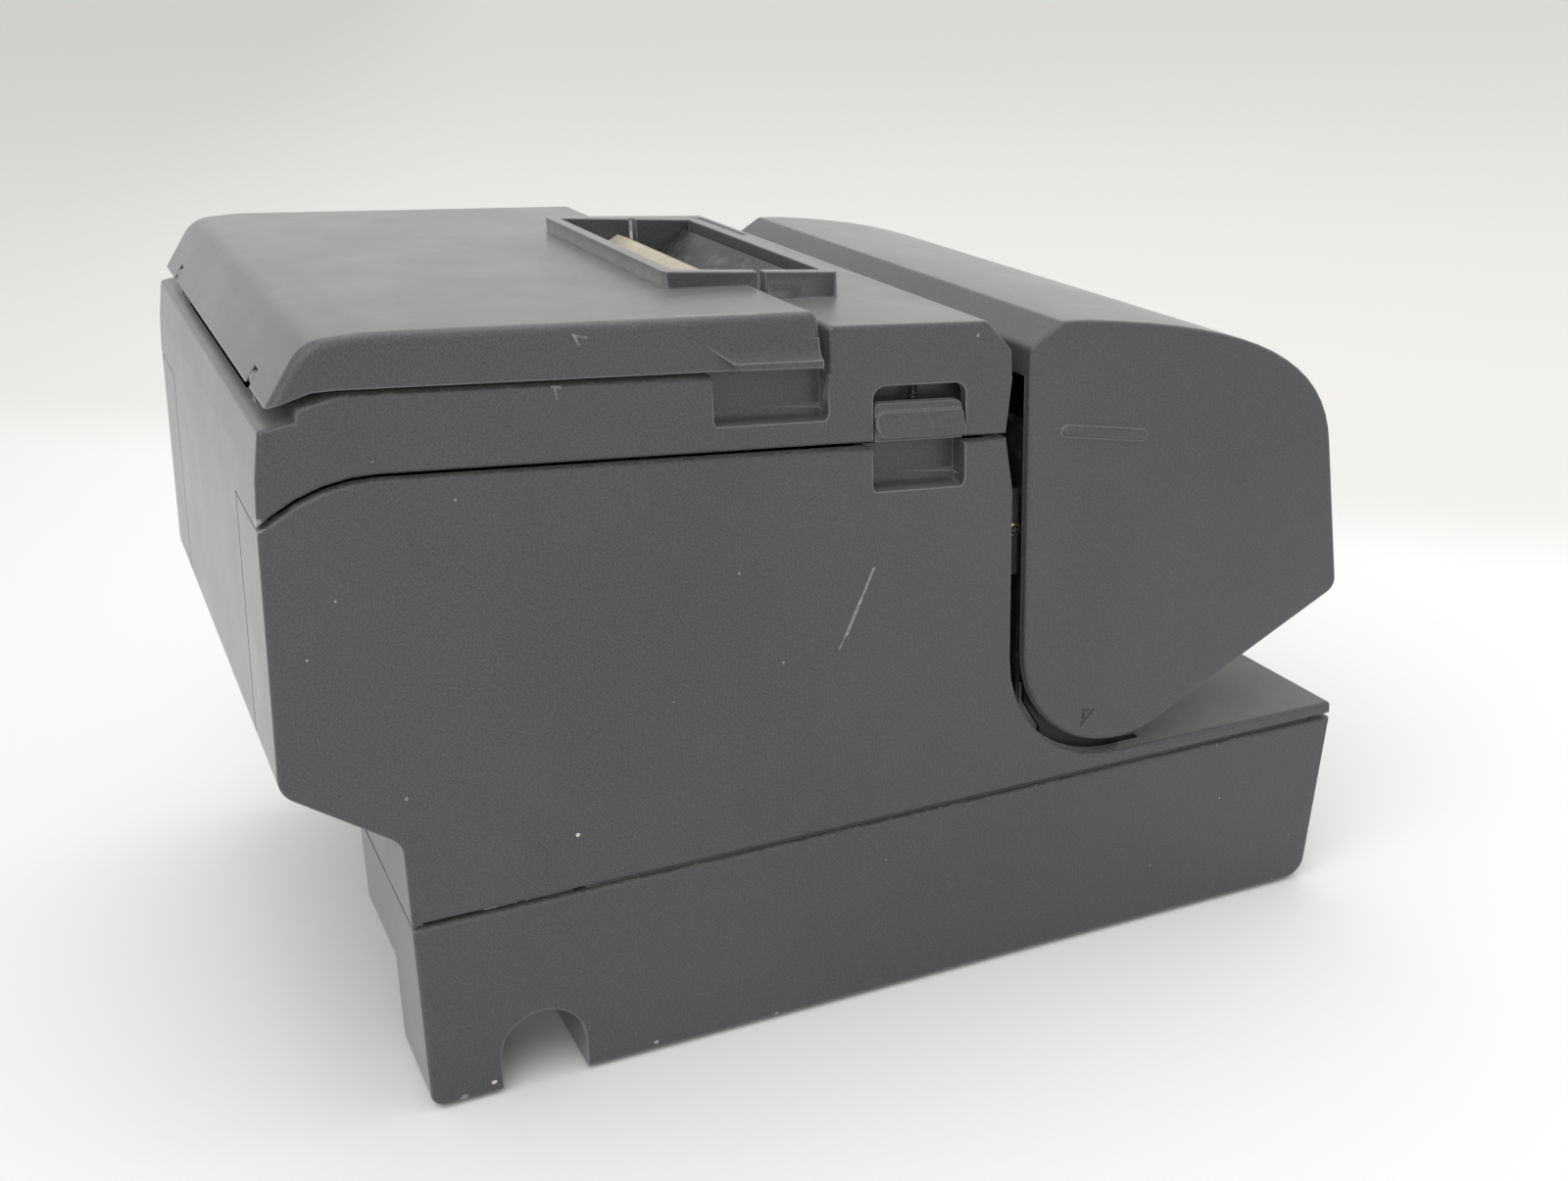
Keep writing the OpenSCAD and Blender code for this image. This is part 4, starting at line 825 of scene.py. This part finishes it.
class PRINTER_OT_tear_bar(bpy.types.Operator):
    """Makes the tear bar with its row of teeth, standing in the paper exit"""

    bl_idname = "printer.tear_bar"
    bl_label = "Tear bar"

    def execute(self, context):
        low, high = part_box("tear_bar")
        bm = bmesh.new()
        profile = [(14.6, 168.4), (22.4, 168.4), (23.6, 171.6), (22.6, 173.0), (15.2, 176.8),
                   (14.2, 176.4)]
        prism(bm, [(y * MM, z * MM) for y, z in profile], low[0], high[0], ALONG_X)
        pitch, margin = 1.5 * MM, 1.2 * MM
        tooth_foot = Matrix.Translation((0, 0, 175.6 * MM))
        for i in range(int((high[0] - low[0] - margin) / pitch)):
            x = low[0] + margin + i * pitch
            prism(bm, [(x - 0.6 * MM, 14.7 * MM), (x + 0.6 * MM, 14.7 * MM), (x, 13.4 * MM)],
                  0, 0.7 * MM, tooth_foot)
        piece = small_piece("tear_strip", bm, BODY_OF["tear_bar"],
                            LOOKS["cream_plastic"])
        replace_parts(piece, "tear_bar")
        return {"FINISHED"}


class PRINTER_OT_springs(bpy.types.Operator):
    """Winds the latch spring and the two springs behind the thermal head"""

    bl_idname = "printer.springs"
    bl_label = "Springs"

    def execute(self, context):
        wire = bright_steel("spring_wire", (0.10, 0.10, 0.11), 0.28, 0.42, (900, 900, 900))
        low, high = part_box("latch_spring")
        middle = (Vector(low) + Vector(high)) / 2
        bm = bmesh.new()
        thick = 0.2 * MM
        radius = (high[0] - low[0]) / 2 - thick
        coil(bm, (middle.x, middle.y, low[2]), (0, 0, 1), radius, thick, high[2] - low[2], 8)
        piece = small_piece("latch_coil", bm, "receipt_unit", wire)
        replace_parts(piece, "latch_spring")
        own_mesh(piece)

        bm = bmesh.new()
        way = Vector((0, math.cos(NIP_ANGLE), math.sin(NIP_ANGLE)))
        side = Vector((0, -way.z, way.y))
        foot = Vector(PLATEN) * MM + way * (PLATEN_RADIUS + 5.3) * MM + side * 3 * MM
        for x in (-31, 13):
            coil(bm, (x * MM, foot.y, foot.z), way, 2.05 * MM, 0.3 * MM, 5.5 * MM, 5)
        springs = small_piece("head_coils", bm, "receipt_unit", wire)
        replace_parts(springs, "head_springs")
        return {"FINISHED"}


class PRINTER_OT_fasteners(bpy.types.Operator):
    """Makes the case screws and the screw of the slip sensor's bracket"""

    bl_idname = "printer.fasteners"
    bl_label = "Fasteners"

    def execute(self, context):
        bm = bmesh.new()
        head_down = Matrix.Rotation(math.pi, 4, "X")
        for x in (-78, 78):
            for y in (-118, 60):
                down = Matrix.Translation((x * MM, y * MM, 3.0 * MM)) @ head_down
                screw_head(bm, down, 1.9 * MM, 1.6 * MM)
                turned(bm, [(0, -12.4 * MM), (0.9 * MM, -12.4 * MM), (1.5 * MM, -11 * MM),
                            (1.5 * MM, 0)], down)
        steel = LOOKS["plated_steel"]
        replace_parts(small_piece("case_screw_set", bm, "base", steel), "case_screws")

        bm = bmesh.new()
        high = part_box("slip_sensor_bracket")[1]
        face = high[0] - 1.2 * MM
        outward = Matrix.Rotation(-math.pi / 2, 4, "Y")
        screw_head(bm, Matrix.Translation((face, -39.9 * MM, 118 * MM)) @ outward, 1.75 * MM, 1.4 * MM)
        brass = bright_steel("screw_brass", (0.62, 0.50, 0.30), 0.24, 0.4, (900, 900, 900))
        small_piece("bracket_screw", bm, "base", brass)
        return {"FINISHED"}


def on_deck(x, y):
    """Place on the sloping control deck, in mm, as a transform."""
    (y0, z0), (y1, z1) = DECK_FRONT, DECK_REAR
    slope = Matrix.Rotation(math.atan2(z1 - z0, y1 - y0), 4, "X")
    tilt = Matrix.Translation((0, y0 * MM, z0 * MM)) @ slope
    return tilt @ Matrix.Translation((x * MM, (y - y0) * MM, 0))


class PRINTER_OT_lights(bpy.types.Operator):
    """Makes the indicator lenses and the signs on the buttons and the switch"""

    bl_idname = "printer.lights"
    bl_label = "Indicators and signs"

    def execute(self, context):
        tints = (("green_lens", (0.05, 0.30, 0.09)), ("amber_lens", (0.55, 0.24, 0.03)),
                 ("red_lens", (0.42, 0.035, 0.03)), ("clear_lens", (0.50, 0.50, 0.46)))
        for i, (name, tint) in enumerate(tints):
            bm = bmesh.new()
            turned(bm, [(0, -1.1 * MM), (1.0 * MM, -1.1 * MM), (1.0 * MM, -0.15 * MM),
                        (0.85 * MM, 0.1 * MM), (0.5 * MM, 0.25 * MM), (0, 0.3 * MM)],
                   on_deck(68 + 4 * i, -8))
            small_piece(name, bm, "receipt_unit", lens_plastic(name, tint), 60)
        ink = printed_ink()
        feed = [(-1.3, -0.9), (1.3, -0.9), (0, 1.1)]
        bar = [(-1.3, -1.7), (1.3, -1.7), (1.3, -1.35), (-1.3, -1.35)]
        ring = [(-0.45, -0.45), (0.45, -0.45), (0.45, 0.45), (-0.45, 0.45)]
        for name, body, (x, y), shapes in (
                ("receipt_feed_sign", "receipt_feed_button", (57, -20), (feed, bar)),
                ("slip_feed_sign", "slip_feed_button", (57, -8), (feed,)),
                ("release_sign", "release_button", (77, -20), (ring, bar))):
            bm = bmesh.new()
            for shape in shapes:
                prism(bm, [(u * MM, v * MM) for u, v in shape], 0.49 * MM, 0.55 * MM, on_deck(x, y))
            small_piece(name, bm, body, ink)
        self.switch_sign(ink)
        return {"FINISHED"}

    def switch_sign(self, ink):
        """Line and ring on the rocker's hollow face."""
        bm = bmesh.new()
        x, axis_y, axis_z = ROCKER
        for dz, shape in ((3.6, "line"), (-3.6, "ring")):
            y = axis_y + math.sqrt(ROCKER_RADIUS ** 2 - dz ** 2)
            lean = Matrix.Rotation(math.pi / 2 + math.asin(dz / ROCKER_RADIUS), 4, "X")
            place = Matrix.Translation((x * MM, (y + 0.03) * MM, (axis_z + dz) * MM)) @ lean
            if shape == "line":
                prism(bm, [(-0.22 * MM, -1.5 * MM), (0.22 * MM, -1.5 * MM), (0.22 * MM, 1.5 * MM),
                           (-0.22 * MM, 1.5 * MM)], 0, 0.08 * MM, place)
            else:
                sides = 32
                outer, inner = circle(1.5 * MM, sides), circle(1.1 * MM, sides)
                for i in range(sides):
                    j = (i + 1) % sides
                    prism(bm, [outer[i], outer[j], inner[j], inner[i]], 0, 0.08 * MM, place)
        small_piece("switch_sign", bm, "switch", ink)


class PRINTER_OT_contacts(bpy.types.Operator):
    """Lays the contact strips in the rear sockets"""

    bl_idname = "printer.contacts"
    bl_label = "Socket contacts"

    def execute(self, context):
        bm = bmesh.new()
        pitch, tongue_half, half_strip = 2, 1.2, 0.45
        for x0, x1, height in SOCKETS:
            z = SOCKET_FOOT + height / 2
            count = int((x1 - x0 - 7) / pitch)
            first = (x0 + x1) / 2 - (count - 1)
            for i in range(count):
                x = first + pitch * i
                for side in (-1, 1):
                    face = z + side * tongue_half
                    low, high = sorted((face - side * 0.02, face + side * 0.12))
                    a, b = (x - half_strip) * MM, (x + half_strip) * MM
                    prism(bm, [(a, 67 * MM), (b, 67 * MM), (b, 76.4 * MM), (a, 76.4 * MM)],
                          low * MM, high * MM)
        gold = bright_steel("contact_gold", (0.75, 0.56, 0.25), 0.2, 0.32, (300, 900, 300))
        small_piece("socket_contacts", bm, "base", gold)
        return {"FINISHED"}


def floor_disc(name, radius, material):
    """Wide floor that belongs to the stage and not to the printer."""
    bm = bmesh.new()
    bmesh.ops.create_circle(bm, cap_ends=True, radius=radius, segments=96)
    mesh = bpy.data.meshes.new(name)
    bm.to_mesh(mesh)
    bm.free()
    mesh.materials.append(material)
    card = bpy.data.objects.new(name, mesh)
    bpy.context.scene.collection.objects.link(card)


def soft_lamp(name, place, aim, side, power):
    """Square area lamp, its side in metres and its power in watts."""
    data = bpy.data.lights.new(name, "AREA")
    data.shape = "RECTANGLE"
    data.size = data.size_y = side
    data.energy = power
    lamp = bpy.data.objects.new(name, data)
    lamp.location = place
    lamp.rotation_euler = (Vector(aim) - Vector(place)).to_track_quat("-Z", "Y").to_euler()
    bpy.context.scene.collection.objects.link(lamp)


class PRINTER_OT_stage(bpy.types.Operator):
    """Sets the camera, the lamps and the pale floor"""

    bl_idname = "printer.stage"
    bl_label = "Stage"

    def execute(self, context):
        stage = context.scene.printer_stage
        camera = bpy.data.objects.new("camera", bpy.data.cameras.new("camera"))
        context.scene.collection.objects.link(camera)
        camera.data.lens = stage.lens
        camera.data.sensor_width = 36
        camera.data.clip_start = 0.02
        camera.data.clip_end = 50
        view = Vector((math.cos(stage.azimuth) * math.cos(stage.tilt),
                       math.sin(stage.azimuth) * math.cos(stage.tilt), math.sin(stage.tilt)))
        aimed = view.to_track_quat("-Z", "Y").to_matrix() @ Matrix.Rotation(stage.roll, 3, "Z")
        camera.matrix_world = Matrix.Translation(Vector(stage.eye)) @ aimed.to_4x4()
        context.scene.camera = camera

        # The floor carries painted shade on its far part and rear side.
        floor_disc("floor", 14, pale_card(
            near=(0.77, 0.77, 0.77), far=(0.68, 0.675, 0.665), shaded=(0.60, 0.595, 0.585)))
        soft_lamp("overhead", (0.30, -0.20, 1.9), (0, 0, 0.1), 1.0, 6.5)
        soft_lamp("room_light", (-1.3, 1.2, 1.7), (0, 0, 0.05), 2.4, 26)
        context.scene.world = daylight(stage.horizon, stage.zenith)
        context.scene.view_settings.view_transform = "Standard"
        return {"FINISHED"}


class PRINTER_PT_panel(bpy.types.Panel):
    """Lists the steps that dress the printer"""

    bl_idname = "PRINTER_PT_panel"
    bl_label = "Printer"
    bl_space_type = "VIEW_3D"
    bl_region_type = "UI"
    bl_category = "Printer"

    def draw(self, context):
        layout = self.layout
        for step in STEPS:
            layout.operator(step.bl_idname)
        for group in (context.scene.printer_finish, context.scene.printer_stage):
            for prop in group.bl_rna.properties:
                if not prop.is_readonly and prop.identifier not in ("name", "rna_type"):
                    layout.prop(group, prop.identifier)


STEPS = (PRINTER_OT_stage, PRINTER_OT_shells, PRINTER_OT_latch, PRINTER_OT_metal,
         PRINTER_OT_mouldings, PRINTER_OT_panel, PRINTER_OT_tear_bar, PRINTER_OT_springs,
         PRINTER_OT_fasteners, PRINTER_OT_lights, PRINTER_OT_contacts)
CLASSES = (PrinterFinish, PrinterStage, *STEPS, PRINTER_PT_panel)


def register():
    for kind in CLASSES:
        bpy.utils.register_class(kind)
    bpy.types.Scene.printer_finish = bpy.props.PointerProperty(type=PrinterFinish)
    bpy.types.Scene.printer_stage = bpy.props.PointerProperty(type=PrinterStage)


def unregister():
    del bpy.types.Scene.printer_stage
    del bpy.types.Scene.printer_finish
    for kind in reversed(CLASSES):
        bpy.utils.unregister_class(kind)


def main():
    register()
    for step in STEPS:
        group, name = step.bl_idname.split(".")
        getattr(getattr(bpy.ops, group), name)()


if __name__ == "__main__":
    main()
